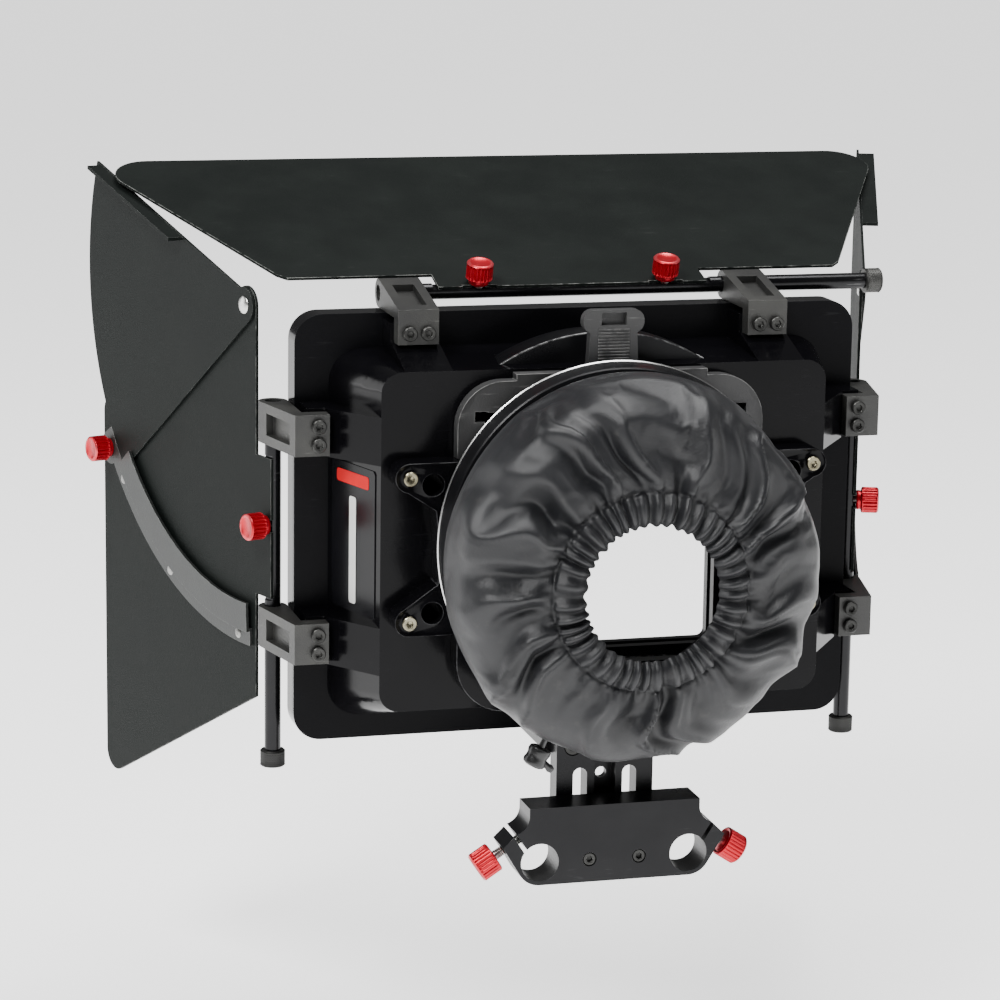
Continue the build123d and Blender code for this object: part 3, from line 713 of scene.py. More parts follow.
@dataclass(frozen=True)
class Fastener:
    """A socket screw head, drawn round +Z from its seat."""

    radius: float
    height: float
    socket: float

    def head(self, placement: Matrix) -> bmesh.types.BMesh:
        """Build the head with its hexagonal socket.

        Args:
            placement: Where it stands, with +Z out of the surface.

        Returns:
            The head as a bmesh.
        """
        depth = self.height * 0.55
        floor = self.height - depth
        outline = [
            (0.0, floor - 0.0003),
            (self.socket * 0.97, floor),
            (self.socket, self.height - 0.0001),
            (self.socket + 0.00025, self.height),
            (self.radius - 0.00035, self.height),
            (self.radius, self.height - 0.00035),
            (self.radius, 0.0),
            (0.0, 0.0),
        ]
        mesh = lathe(outline, 36)
        for vert in mesh.verts:
            reach = hypot(vert.co.x, vert.co.y)
            if 0.0 < reach < self.socket + 0.0001 and vert.co.z > floor - 0.0001:
                turn = degrees(atan2(vert.co.y, vert.co.x)) % 60.0 - 30.0
                vert.co.xy *= cos(radians(30.0)) / cos(radians(turn)) * 1.06
        soften(mesh, 0.00008, 1, 60.0)
        mesh.transform(placement)
        return mesh


@dataclass(frozen=True)
class Thumbscrew:
    """A fluted cap on a neck and a threaded shank, drawn round +Z from its base."""

    radius: float
    cap: float
    neck: float
    neck_radius: float
    shank: float
    flutes: int = 22
    flute_depth: float = 0.00045
    lip: float = 0.0007
    pitch: float = 0.0007
    root_radius: float = 0.00172
    crest_radius: float = 0.002

    def make(self, shop: Workshop, node: str, placement: Matrix) -> None:
        """Build the cap and its shank in place of one CAD node.

        Args:
            shop: The workshop that dresses them.
            node: CAD node of the thumbscrew, which is also its body's name.
            placement: Its base, with +Z towards the cap.
        """
        self.head(shop, node, placement)
        thread: Outline = [(0.0, -self.shank)]
        for turn in range(int(self.shank / self.pitch)):
            foot, peak = (-self.shank + (turn + part) * self.pitch for part in (0.0, 0.5))
            thread += [(self.root_radius, foot), (self.crest_radius, peak)]
        thread += [(0.0018, -0.0001), (0.0018, 0.0001), (0.0, 0.0001)]
        shank = lathe(thread, 24)
        shank.transform(placement)
        shop.piece(f"{node}_shank", shank, STEEL, node, crease=25.0)

    def head(self, shop: Workshop, node: str, placement: Matrix) -> None:
        """Turn the fluted cap on its neck.

        Args:
            shop: The workshop that dresses it.
            node: CAD node it stands for.
            placement: Its base, with +Z towards the cap.
        """
        low, high, lip, radius = self.neck, self.neck + self.cap, self.lip, self.radius
        rings = [low + lip + (high - low - 2 * lip) * step / 6 for step in range(7)]
        outline = [(0.0, 0.0), (self.neck_radius - 0.0003, 0.0), (self.neck_radius, 0.0003)]
        if self.neck:
            outline += [(self.neck_radius, low * 0.5), (self.neck_radius * 0.96, low)]
        outline += [(radius - 0.0006, low), (radius, low + 0.0004), (radius, low + lip - 0.0001)]
        outline += [(radius, ring) for ring in rings]
        outline += [(radius, high - lip + 0.0001), (radius - 0.0001, high - 0.0005)]
        outline += [(radius - 0.0006, high), (radius - 0.0011, high)]
        outline += [(radius - 0.0014, high - 0.00025), (0.0, high - 0.0003)]
        cap = lathe(outline, self.flutes * 6)
        span = (low + lip - 0.00005, high - lip + 0.00005)
        pressed(cap, radius, span, flutes(self.flutes, self.flute_depth))
        layer = edge_layer(cap)
        middles = [(face, face.calc_center_median()) for face in cap.faces]
        rim = [f for f, m in middles if m.z > high - lip and hypot(m.x, m.y) > radius - 0.0013]
        mark_worn(rim, layer)
        cap.transform(placement)
        shop.piece(f"{node}_cap", cap, RED, node, [node], crease=50.0)


@dataclass
class HingePin:
    """A round hinge rod with a milled flat and a knurled head."""

    node: str
    body: str
    start: Vector
    along: Vector
    length: float
    head: float
    flat_span: tuple[float, float]
    flat_normal: Vector
    radius: float = 0.0032
    head_radius: float = 0.005
    flat: float = 0.0018
    tip: float = 0.0006
    rings: int = 16
    diamonds: int = 30
    groove: float = 0.0004

    def make(self, shop: Workshop) -> None:
        """Build the rod and its head in place of the CAD pin.

        Args:
            shop: The workshop that dresses them.
        """
        outline: Outline = [(0.0, 0.0), (self.radius, 0.0)]
        for mark in self.flat_span:
            outline += [(self.radius, mark - 0.00005), (self.radius, mark + 0.00005)]
        end = self.length
        outline += [(self.radius, end - self.tip), (self.radius - self.tip, end), (0.0, end)]
        rod = lathe(outline, 72)
        rod.transform(facing(self.start, self.along))
        axis = self.along.normalized()
        for vert in rod.verts:
            offset = vert.co - self.start
            rise = offset.dot(self.flat_normal) - self.flat
            if self.flat_span[0] < offset.dot(axis) < self.flat_span[1] and rise > 0.0:
                vert.co -= self.flat_normal * rise
        soften(rod, 0.00012, 1, 40.0)
        shop.piece(f"{self.node}_rod", rod, PIN, self.body, [self.node], crease=30.0)
        self.cap(shop)

    def cap(self, shop: Workshop) -> None:
        """Turn and knurl the head at the rod's start.

        Args:
            shop: The workshop that dresses it.
        """
        high, radius = self.head, self.head_radius
        rings = [0.0006 + (high - 0.0012) * step / self.rings for step in range(self.rings + 1)]
        outline: Outline = [(0.0, 0.0), (radius - 0.0005, 0.0), (radius, 0.0005)]
        outline += [(radius, ring) for ring in rings]
        outline += [(radius, high - 0.0005), (radius - 0.0005, high), (0.0, high)]
        cap = lathe(outline, 120)
        pressed(cap, radius, (0.00055, high - 0.00055), diamonds(self.diamonds, self.groove, radius))
        soften(cap, 0.00005, 1, 70.0)
        cap.transform(facing(self.start, -self.along, -high))
        shop.piece(f"{self.node}_head", cap, KNURL, self.body, crease=40.0)


def seat_points(shop: Workshop, node: str, axis: Vector) -> list[Vector]:
    """Find where each solid of a fastener node stands.

    Args:
        shop: The workshop with the frame.
        node: CAD node that holds several equal fasteners.
        axis: Direction out of the surface.

    Returns:
        The outer end of each fastener, on its own axis.
    """
    mesh = bmesh.new()
    mesh.from_mesh(shop.frame["nodes"][node].data)
    bmesh.ops.remove_doubles(mesh, verts=mesh.verts[:], dist=2e-6)
    left = set(mesh.verts)
    found = []
    while left:
        stack, island = [left.pop()], []
        while stack:
            vert = stack.pop()
            island.append(vert.co.copy())
            for edge in vert.link_edges:
                other = edge.other_vert(vert)
                if other in left:
                    left.remove(other)
                    stack.append(other)
        low = Vector(min(p[i] for p in island) for i in range(3))
        high = Vector(max(p[i] for p in island) for i in range(3))
        middle = (low + high) / 2
        found.append(middle + axis * (max(p.dot(axis) for p in island) - middle.dot(axis)))
    mesh.free()
    return sorted(found, key=lambda p: (round(p.x, 4), round(p.z, 4), round(p.y, 4)))


def screw_set(shop: Workshop, node: str, fastener: Fastener, axis: Vector, finish: Finish) -> None:
    """Build every head of one fastener node as one piece.

    Args:
        shop: The workshop with the frame.
        node: CAD node of the fasteners.
        fastener: Size of one head.
        axis: Direction out of the surface.
        finish: What they are made of.
    """
    heads = []
    for turn, top in enumerate(seat_points(shop, node, axis)):
        spin = Matrix.Rotation(radians(17.0 * turn), 4, "Z")
        heads.append(fastener.head(facing(top, axis, -fastener.height) @ spin))
    shop.piece(f"{node}_heads", joined(heads), finish, shop.owner[node], [node], crease=35.0)


def rimmed(height: float, axis: Vector, rim: float, depth: float) -> Callable[[bmesh.types.BMesh], None]:
    """Sink the middle of a flat side so that a rim stands round it.

    Args:
        height: Where that side lies along the axis.
        axis: Direction the side faces.
        rim: Width of the rim.
        depth: How far the middle sinks.

    Returns:
        The work to do on a copied node.
    """

    def work(mesh: bmesh.types.BMesh) -> None:
        """Inset the flat side's faces."""
        faces = [
            f
            for f in mesh.faces
            if f.normal.dot(axis) > 0.999 and abs(f.calc_center_median().dot(axis) - height) < 0.00005
        ]
        bmesh.ops.inset_region(
            mesh, faces=faces, thickness=rim, depth=-depth, use_boundary=True, use_even_offset=True
        )

    return work


BEHIND = Vector((0.0, -1.0, 0.0))


@dataclass
class RodClamp:
    """The rod clamp with its lug screws and slide screws."""

    edge: float = 0.0005
    bore_radius: float = 0.00755
    rod_x: float = 0.03
    knob_seat: float = 0.0128
    knob: Thumbscrew = field(default_factory=lambda: Thumbscrew(0.006, 0.0085, 0.0, 0.0045, 0.0188, 24))

    def make(self, shop: Workshop) -> None:
        """Build the clamp's pieces.

        Args:
            shop: The workshop that dresses them.
        """
        body = shop.refined("rod_clamp", "rod_clamp_body", ANODISED, self.edge, 3)

        def in_bore(face: Any) -> bool:
            """Whether a face lies on the wall of a rod bore."""
            reach = hypot(abs(face.center.x) - self.rod_x, face.center.z)
            return abs(face.normal.y) < 0.2 and reach < self.bore_radius + 0.0002

        shop.second(body, MACHINED, in_bore)
        screw_set(shop, "clamp_slide_screws", Fastener(0.00265, 0.003, 0.00125), BEHIND, SCREW)
        shop.refined("clamp_slide_nuts", "clamp_slide_nut_pair", STEEL, 0.0003)
        for side in Side:
            node = f"clamp_knob_{side.value}"
            self.knob.make(shop, node, shop.axis_of(f"{node}_turn", self.knob_seat))


@dataclass
class Housing:
    """The fixed box: height plate, shell, hood, ear frame, brackets and label."""

    edge: float = 0.0007
    bracket_edge: float = 0.0008

    def make(self, shop: Workshop) -> None:
        """Build the housing's pieces.

        Args:
            shop: The workshop that dresses them.
        """
        shop.refined("height_plate", "height_plate_body", ANODISED, 0.0004)
        shop.refined("rear_housing", "rear_housing_shell", MOULDED, self.edge, 3)
        hood = shop.refined("front_hood", "front_hood_shell", GRAINED, 0.0009, 3)
        shop.second(hood, MOULDED, lambda face: abs(face.normal.y) < 0.5)
        ears = rimmed(-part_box("stage_frame")[0].y, BEHIND, 0.0012, 0.0008)
        shop.refined("stage_frame", "stage_frame_body", MOULDED, 0.0004, 3, ears)
        shop.refined("stage_retainer", "stage_retainer_plate", ANODISED, 0.0004)
        for place in ("left_upper", "left_lower", "right_upper", "right_lower", "top_left", "top_right"):
            shop.refined(f"bracket_{place}", f"bracket_{place}_body", BRACKET, self.bracket_edge, 3)
        for node, fastener, axis, finish in (
            ("height_plate_screws", Fastener(0.0035, 0.003, 0.0016), BEHIND, SCREW),
            ("bracket_screws", Fastener(0.0028, 0.0024, 0.00135), BEHIND, SCREW),
            ("stage_frame_screws", Fastener(0.0028, 0.0016, 0.0012), BEHIND, BRASS),
            ("hood_screws", Fastener(0.00275, 0.0022, 0.00125), -BEHIND, SCREW),
            ("retainer_screws", Fastener(0.00275, 0.0018, 0.00125), -BEHIND, SCREW),
        ):
            screw_set(shop, node, fastener, axis, finish)
        self.label(shop)

    def label(self, shop: Workshop) -> None:
        """Lay a plain printed panel with two bare bands on the side wall.

        Args:
            shop: The workshop that dresses it.
        """
        panel = shop.refined("side_label", "side_label_panel", LABEL, 0.0001, 1)
        low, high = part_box("side_label")
        run = Vector((low.x - high.x, high.y - low.y, 0.0)).normalized()
        out = Vector((-run.y, run.x, 0.0))
        middle = (low + high) / 2
        rise = max((v.co - middle).dot(out) for v in panel.data.vertices)
        bands = (
            ("side_label_red_band", LABEL_RED, 0.0235, 0.024, 0.005),
            ("side_label_pale_band", LABEL_PALE, -0.0045, 0.005, 0.042),
        )
        for name, finish, height, width, length in bands:
            mesh = bmesh.new()
            bmesh.ops.create_grid(mesh, x_segments=1, y_segments=1, size=0.5)
            grown = bmesh.ops.extrude_face_region(mesh, geom=mesh.faces[:])
            lifted = [v for v in grown["geom"] if isinstance(v, bmesh.types.BMVert)]
            bmesh.ops.translate(mesh, vec=(0, 0, 0.00012), verts=lifted)
            bmesh.ops.scale(mesh, vec=(width, length, 1.0), verts=mesh.verts[:])
            corners = [e for e in mesh.edges if abs(e.verts[0].co.z - e.verts[1].co.z) > 0.00005]
            bmesh.ops.bevel(
                mesh, geom=corners, offset=0.0012, segments=4, profile=0.5, affect="EDGES", material=-1
            )
            bmesh.ops.recalc_face_normals(mesh, faces=mesh.faces[:])
            turn = Matrix((-run, Vector((0, 0, 1)), out)).transposed()
            place = Matrix.Translation(middle + out * (rise - 0.00002) + Vector((0, 0, height)))
            mesh.transform(place @ turn.to_4x4())
            shop.piece(name, mesh, finish, "housing")


@dataclass
class FilterStages:
    """The lift-out tray with its handle, and the rotating stage."""

    ridges: int = 10
    ridge_low: float = 0.1935
    ridge_high: float = 0.2045
    ridge_half: float = 0.0062

    def make(self, shop: Workshop) -> None:
        """Build the stages' pieces.

        Args:
            shop: The workshop that dresses them.
        """
        tray_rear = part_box("filter_tray")[0].y
        rim = rimmed(-tray_rear, BEHIND, 0.0014, 0.0004)
        shop.refined("filter_tray", "filter_tray_plate", STAGE_GREY, 0.0003, 2, rim)
        shop.refined("tray_handle", "tray_handle_tab", STAGE_GREY, 0.0006, 3)
        self.grip(shop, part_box("tray_handle")[0].y)
        shop.refined("rotating_stage", "rotating_stage_drum", ANODISED, 0.0006, 2)
        shop.refined("rotating_filter_frame", "rotating_filter_frame_body", STAGE_GREY, 0.0004)

    def grip(self, shop: Workshop, face_y: float) -> None:
        """Raise the handle's finger ridges.

        Args:
            shop: The workshop that dresses them.
            face_y: Depth of the handle's rear face.
        """
        bars = []
        step = (self.ridge_high - self.ridge_low) / (self.ridges - 1)
        for row in range(self.ridges):
            bar = bmesh.new()
            bmesh.ops.create_cube(bar, size=1.0)
            bmesh.ops.scale(bar, vec=(2 * self.ridge_half, 0.001, step * 0.55), verts=bar.verts[:])
            bmesh.ops.translate(bar, vec=(0.0, face_y, self.ridge_low + row * step), verts=bar.verts[:])
            soften(bar, 0.00022, 2)
            bars.append(bar)
        shop.piece("tray_handle_ridges", joined(bars), STAGE_GREY, "rear_tray")


@dataclass
class LensDonut:
    """The ring that holds the cloth donut, the gathered cloth and its cord stopper."""

    ring_radius: float = 0.0698
    bore: float = 0.0565
    around: int = 384
    along: int = 88
    gathers: int = 42
    stitch: float = 8 / 11
    girth: float = 0.482
    fullness: float = 1.07
    frames: int = 26
    furthest: float = 0.009
    gather_height: float = 0.0015
    gather_slide: float = 0.007
    channel_depth: float = 0.0009
    folds: tuple[tuple[int, float, float, float], ...] = ((16, 0.2, 0.58, 0.0046), (8, 0.06, 0.4, 0.0028))
    wall: float = 0.0005
    outline: tuple[tuple[float, float, float], ...] = (
        (0.0640, 0.0019, 0.1235),
        (0.0690, -0.0035, 0.1220),
        (0.0720, -0.0105, 0.1200),
        (0.0725, -0.0190, 0.1187),
        (0.0700, -0.0285, 0.1177),
        (0.0630, -0.0352, 0.1168),
        (0.0535, -0.0382, 0.1160),
        (0.0450, -0.0394, 0.1155),
        (0.0380, -0.0392, 0.1150),
        (0.0335, -0.0414, 0.1147),
        (0.0295, -0.0416, 0.1145),
        (0.0262, -0.0395, 0.1145),
    )

    def make(self, shop: Workshop) -> None:
        """Build the donut's pieces.

        Args:
            shop: The workshop that dresses them.
        """
        self.ring(shop)
        self.cloth(shop)
        self.stopper(shop)

    def ring(self, shop: Workshop) -> None:
        """Turn the ring and its red accent, and paint a highlight onto the ring's outer lip as a bright metal
        band.

        Args:
            shop: The workshop that dresses them.
        """
        low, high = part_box("donut_ring")
        centre = Vector((0.0, low.y, (low.z + high.z) / 2))
        depth, r, b = high.y - low.y, self.ring_radius, self.bore
        lip = depth - 0.0014
        outline: Outline = [
            (b, 0.0005),
            (b + 0.0005, 0.0),
            (r - 0.0022, 0.0),
            (r - 0.0017, 0.0005),
            (r - 0.0006, lip - 0.0003),
            (r - 0.0004, lip),
            (r, lip + 0.0004),
            (r, depth - 0.0002),
            (r - 0.0002, depth),
            (b + 0.0005, depth),
            (b, depth - 0.0005),
        ]
        mesh = lathe(outline, 240, closed=True)
        mesh.transform(facing(centre, -BEHIND))
        ring = shop.piece("donut_ring_turned", mesh, ANODISED, "housing", ["donut_ring"], crease=28.0)
        rear_y = low.y

        def on_painted_highlight(face: Any) -> bool:
            """Whether a face lies on the outer lip, where the highlight is painted."""
            reach = hypot(face.center.x, face.center.z - centre.z)
            return reach > r - 0.0004 and face.center.y < rear_y + lip + 0.0004

        # Painted highlight: the outer lip takes a bright metal finish in place of the light it catches.
        shop.second(ring, PAINTED_HIGHLIGHT, on_painted_highlight)
        low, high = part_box("donut_accent_ring")
        band = high.y - low.y
        accent: Outline = [
            (b, 0.0002),
            (b + 0.0002, 0.0),
            (b + 0.0018, 0.0),
            (b + 0.002, 0.0002),
            (b + 0.002, band),
            (b, band),
        ]
        mesh = lathe(accent, 200, closed=True)
        mesh.transform(facing(Vector((0.0, low.y, (low.z + high.z) / 2)), -BEHIND))
        shop.piece("donut_accent_band", mesh, RED, "housing", ["donut_accent_ring"])

    def profile(self, share: float) -> tuple[float, float, float]:
        """Read the cloth's smooth section.

        Args:
            share: 0 at the ring and 1 at the opening.

        Returns:
            Radius, depth and centre height.
        """
        points = self.outline
        place = share * (len(points) - 1)
        index = min(int(place), len(points) - 2)
        t = place - index
        before, after = points[max(index - 1, 0)], points[min(index + 2, len(points) - 1)]
        here, there = points[index], points[index + 1]
        return tuple(
            0.5
            * (
                2 * h
                + (n - b) * t
                + (2 * b - 5 * h + 4 * n - a) * t * t
                + (3 * h - b - 3 * n + a) * t * t * t
            )
            for b, h, n, a in zip(before, here, there, after)
        )

    def fold(self, turn: float, share: float) -> tuple[float, float]:
        """Height of the gathers over the smooth section.

        Args:
            turn: Angle round the opening.
            share: 0 at the ring and 1 at the opening.

        Returns:
            Offset along the cloth's normal, and sideways round the opening.
        """
        ring = Vector((cos(turn), sin(turn), 0.0))
        wander = noise.noise(ring * 2.1 + Vector((0.0, 0.0, 1.3)))
        uneven = 0.65 + 0.9 * abs(noise.noise(ring * 5.0 + Vector((3.0, 0.0, 2.0))))
        phase = self.gathers * turn + 5.0 * wander
        close = min(1.0, max(0.0, (share - self.stitch + 0.1) / 0.12))
        gather = sin(phase) + 0.45 * sin(0.5 * phase + 2.0)
        pinch = 1.0 - 0.45 * max(0.0, 1.0 - abs(share - self.stitch) / 0.02)
        hem = 1.0 - 5.0 * max(0.0, share - 0.92)
        lift = close**1.5 * self.gather_height * gather * uneven * pinch * hem
        lift -= self.channel_depth * max(0.0, 1.0 - abs(share - self.stitch) / 0.022)
        bend = turn + 0.42 * share + 0.16 * noise.noise(Vector((share * 5.0, ring.x * 2.0, ring.y * 2.0)))
        drift = noise.noise(Vector((cos(bend) * 1.7, sin(bend) * 1.7, 4.0)))
        for count, start, peak, height in self.folds:
            wave = count * bend + 5.5 * drift + count
            rise = max(0.0, min(1.0, (share - start) / (peak - start)))
            fall = max(0.0, min(1.0, (self.stitch + 0.02 - share) / (self.stitch + 0.02 - peak)))
            spread = Vector((cos(bend) * count * 0.3, sin(bend) * count * 0.3, float(count)))
            strength = max(0.0, 0.55 + 1.6 * noise.noise(spread))
            crest = 1.0 - 2.0 * abs(sin(wave / 2.0)) ** 0.8
            lift += height * strength * rise**1.3 * fall**0.6 * crest
        slide = close * self.gather_slide * cos(phase) * uneven
        return lift * min(1.0, share / 0.06), slide

    def cloth(self, shop: Workshop) -> None:
        """Gather the cloth between the ring and the opening.

        Args:
            shop: The workshop that dresses it.
        """
        sections = [self.profile(step / self.along) for step in range(self.along + 1)]
        runs = [0.0]
        for here, there in zip(sections, sections[1:]):
            runs.append(runs[-1] + hypot(there[0] - here[0], there[1] - here[1]) * self.fullness)
        mesh = spun([(self.girth / (2 * pi), run) for run in runs], self.around)
        laid = mesh.loops.layers.uv.new("UVMap")
        for face in mesh.faces:
            turns = [atan2(c.vert.co.y, c.vert.co.x) % (2 * pi) for c in face.loops]
            wraps = max(turns) - min(turns) > pi
            for corner, turn in zip(face.loops, turns):
                turn += 2 * pi if wraps and turn < pi else 0.0
                corner[laid].uv = (turn / (2 * pi) * self.girth, corner.vert.co.z)
        flat = [vert.co.copy() for vert in mesh.verts]
        rows = [min(range(len(runs)), key=lambda row: abs(runs[row] - point.z)) for point in flat]
        for vert, row in zip(mesh.verts, rows):
            vert.co = self.gathered(atan2(vert.co.y, vert.co.x), row / self.along)
        bmesh.ops.recalc_face_normals(mesh, faces=mesh.faces[:])
        cloth = shop.piece(
            "donut_cloth_gathered",
            mesh,
            NYLON,
            "housing",
            ["donut_fabric", "donut_elastic"],
            crease=180.0,
            weighted=False,
        )
        self.settle(cloth, flat, rows)
        wall = cloth.modifiers.new("Thickness", "SOLIDIFY")
        wall.thickness = self.wall
        wall.offset = -1.0

    def gathered(self, turn: float, share: float) -> Vector:
        """Place one point of the cloth before it settles.

        Args:
            turn: Angle round the opening.
            share: 0 at the ring and 1 at the opening.

        Returns:
            Its place.
        """
        radius, depth, centre = self.profile(share)
        ahead = self.profile(min(1.0, share + 0.01))
        behind = self.profile(max(0.0, share - 0.01))
        slope = Vector((ahead[0] - behind[0], ahead[1] - behind[1])).normalized()
        lift, slide = self.fold(turn, share)
        turn += slide
        radius -= lift * slope.y
        return Vector((radius * cos(turn), depth + lift * slope.x, centre + radius * sin(turn)))

    def settle(self, cloth: bpy.types.Object, flat: Sequence[Vector], rows: Sequence[int]) -> None:
        """Let the cloth fall into its folds between the ring and the stitched channel.

        Args:
            cloth: The gathered cloth.
            flat: Each vertex's place on the tube the cloth was cut to.
            rows: Each vertex's row, from the ring to the opening.
        """
        cloth.shape_key_add(name="Basis")
        rest = cloth.shape_key_add(name="Rest")
        for point, place in zip(rest.data, flat):
            point.co = place
        pinned = cloth.vertex_groups.new(name="pinned")
        first_free, last_free = 1, int(self.along * self.stitch)
        pinned.add([i for i, row in enumerate(rows) if not first_free < row < last_free], 1.0, "REPLACE")
        sim = cloth.modifiers.new("Settle", "CLOTH")
        settings = sim.settings
        settings.quality = 6
        settings.mass = 0.02
        settings.tension_stiffness = 20.0
        settings.compression_stiffness = 20.0
        settings.shear_stiffness = 5.0
        settings.bending_stiffness = 0.008
        settings.tension_damping = settings.compression_damping = 8.0
        settings.shear_damping = 8.0
        settings.bending_damping = 0.4
        settings.air_damping = 3.0
        settings.vertex_group_mass = pinned.name
        settings.rest_shape_key = rest
        settings.use_pressure = True
        settings.uniform_pressure_force = 0.05
        settings.effector_weights.gravity = 0.06
        sim.collision_settings.use_collision = False
        sim.point_cache.frame_start, sim.point_cache.frame_end = 1, self.frames
        scene = bpy.context.scene
        before = [vert.co.copy() for vert in cloth.data.vertices]
        for frame in range(1, self.frames + 1):
            scene.frame_set(frame)
        settled = cloth.evaluated_get(bpy.context.evaluated_depsgraph_get())
        places = [vert.co.copy() for vert in settled.to_mesh().vertices]
        settled.to_mesh_clear()
        cloth.modifiers.remove(sim)
        cloth.shape_key_clear()
        cloth.vertex_groups.clear()
        for vert, start, place in zip(cloth.data.vertices, before, places):
            shift = place - start
            vert.co = start + shift * min(1.0, self.furthest / max(shift.length, 1e-9))
        scene.frame_set(1)
        LOG.info("cloth settled over %d frames", self.frames)

    def stopper(self, shop: Workshop) -> None:
        """Build the barrel stopper on the donut's drawcord, with its pull tab.

        Args:
            shop: The workshop that dresses it.
        """
        low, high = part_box("donut_cord_lock")
        centre = Vector((-0.036, (low.y + high.y) / 2, 0.047))
        axis = Vector((0.442, 0.0, 0.897))
        outline: Outline = [
            (0.0, -0.004),
            (0.003, -0.004),
            (0.0042, -0.0034),
            (0.0045, -0.002),
            (0.0041, -0.0006),
            (0.0041, 0.0006),
            (0.0045, 0.002),
            (0.0042, 0.0034),
            (0.003, 0.004),
            (0.0, 0.004),
        ]
        barrel = lathe(outline, 40)
        soften(barrel, 0.0003, 2, 30.0)
        barrel.transform(facing(centre, axis))
        neck = lathe([(0.0, 0.003), (0.0013, 0.003), (0.0011, 0.0075), (0.0, 0.0075)], 20)
        neck.transform(facing(centre, axis))
        pull = [(0.0, 0.0), (0.0012, 0.0), (0.0013, 0.006), (0.0016, 0.0072), (0.0012, 0.0084), (0.0, 0.0086)]
        tab = lathe(pull, 20)
        tab.transform(facing(centre, Vector((0.006, 0.0, -0.006))))
        shop.piece("donut_cord_stopper", joined([barrel, neck, tab]), TOGGLE, "housing", ["donut_cord_lock"])


@dataclass
class TopFlag:
    """The wide top flag, its hinge pin and its two thumbscrews."""

    edge: float = 0.00028
    pin_head: float = 0.0067
    flat_half: float = 0.057
    knob: Thumbscrew = field(default_factory=lambda: Thumbscrew(0.0053, 0.0071, 0.002, 0.004, 0.0058, 20))

    def make(self, shop: Workshop) -> None:
        """Build the top flag's pieces.

        Args:
            shop: The workshop that dresses them.
        """
        shop.refined("top_flag", "top_flag_sheet", FLAG, self.edge, 2)
        hinge = Vector(shop.joints["top_flag_tilt"]["pos_m"])
        low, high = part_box("top_hinge_pin")
        normal = Vector(shop.joints["top_knob_left_turn"]["axis"])
        start = Vector((high.x, hinge.y, hinge.z))
        span = (start.x - self.flat_half, start.x + self.flat_half)
        left = Vector((-1, 0, 0))
        HingePin("top_hinge_pin", "top_flag", start, left, high.x - low.x, self.pin_head, span, normal).make(shop)
        for side in Side:
            node = f"top_knob_{side.value}"
            self.knob.make(shop, node, shop.axis_of(f"{node}_turn"))


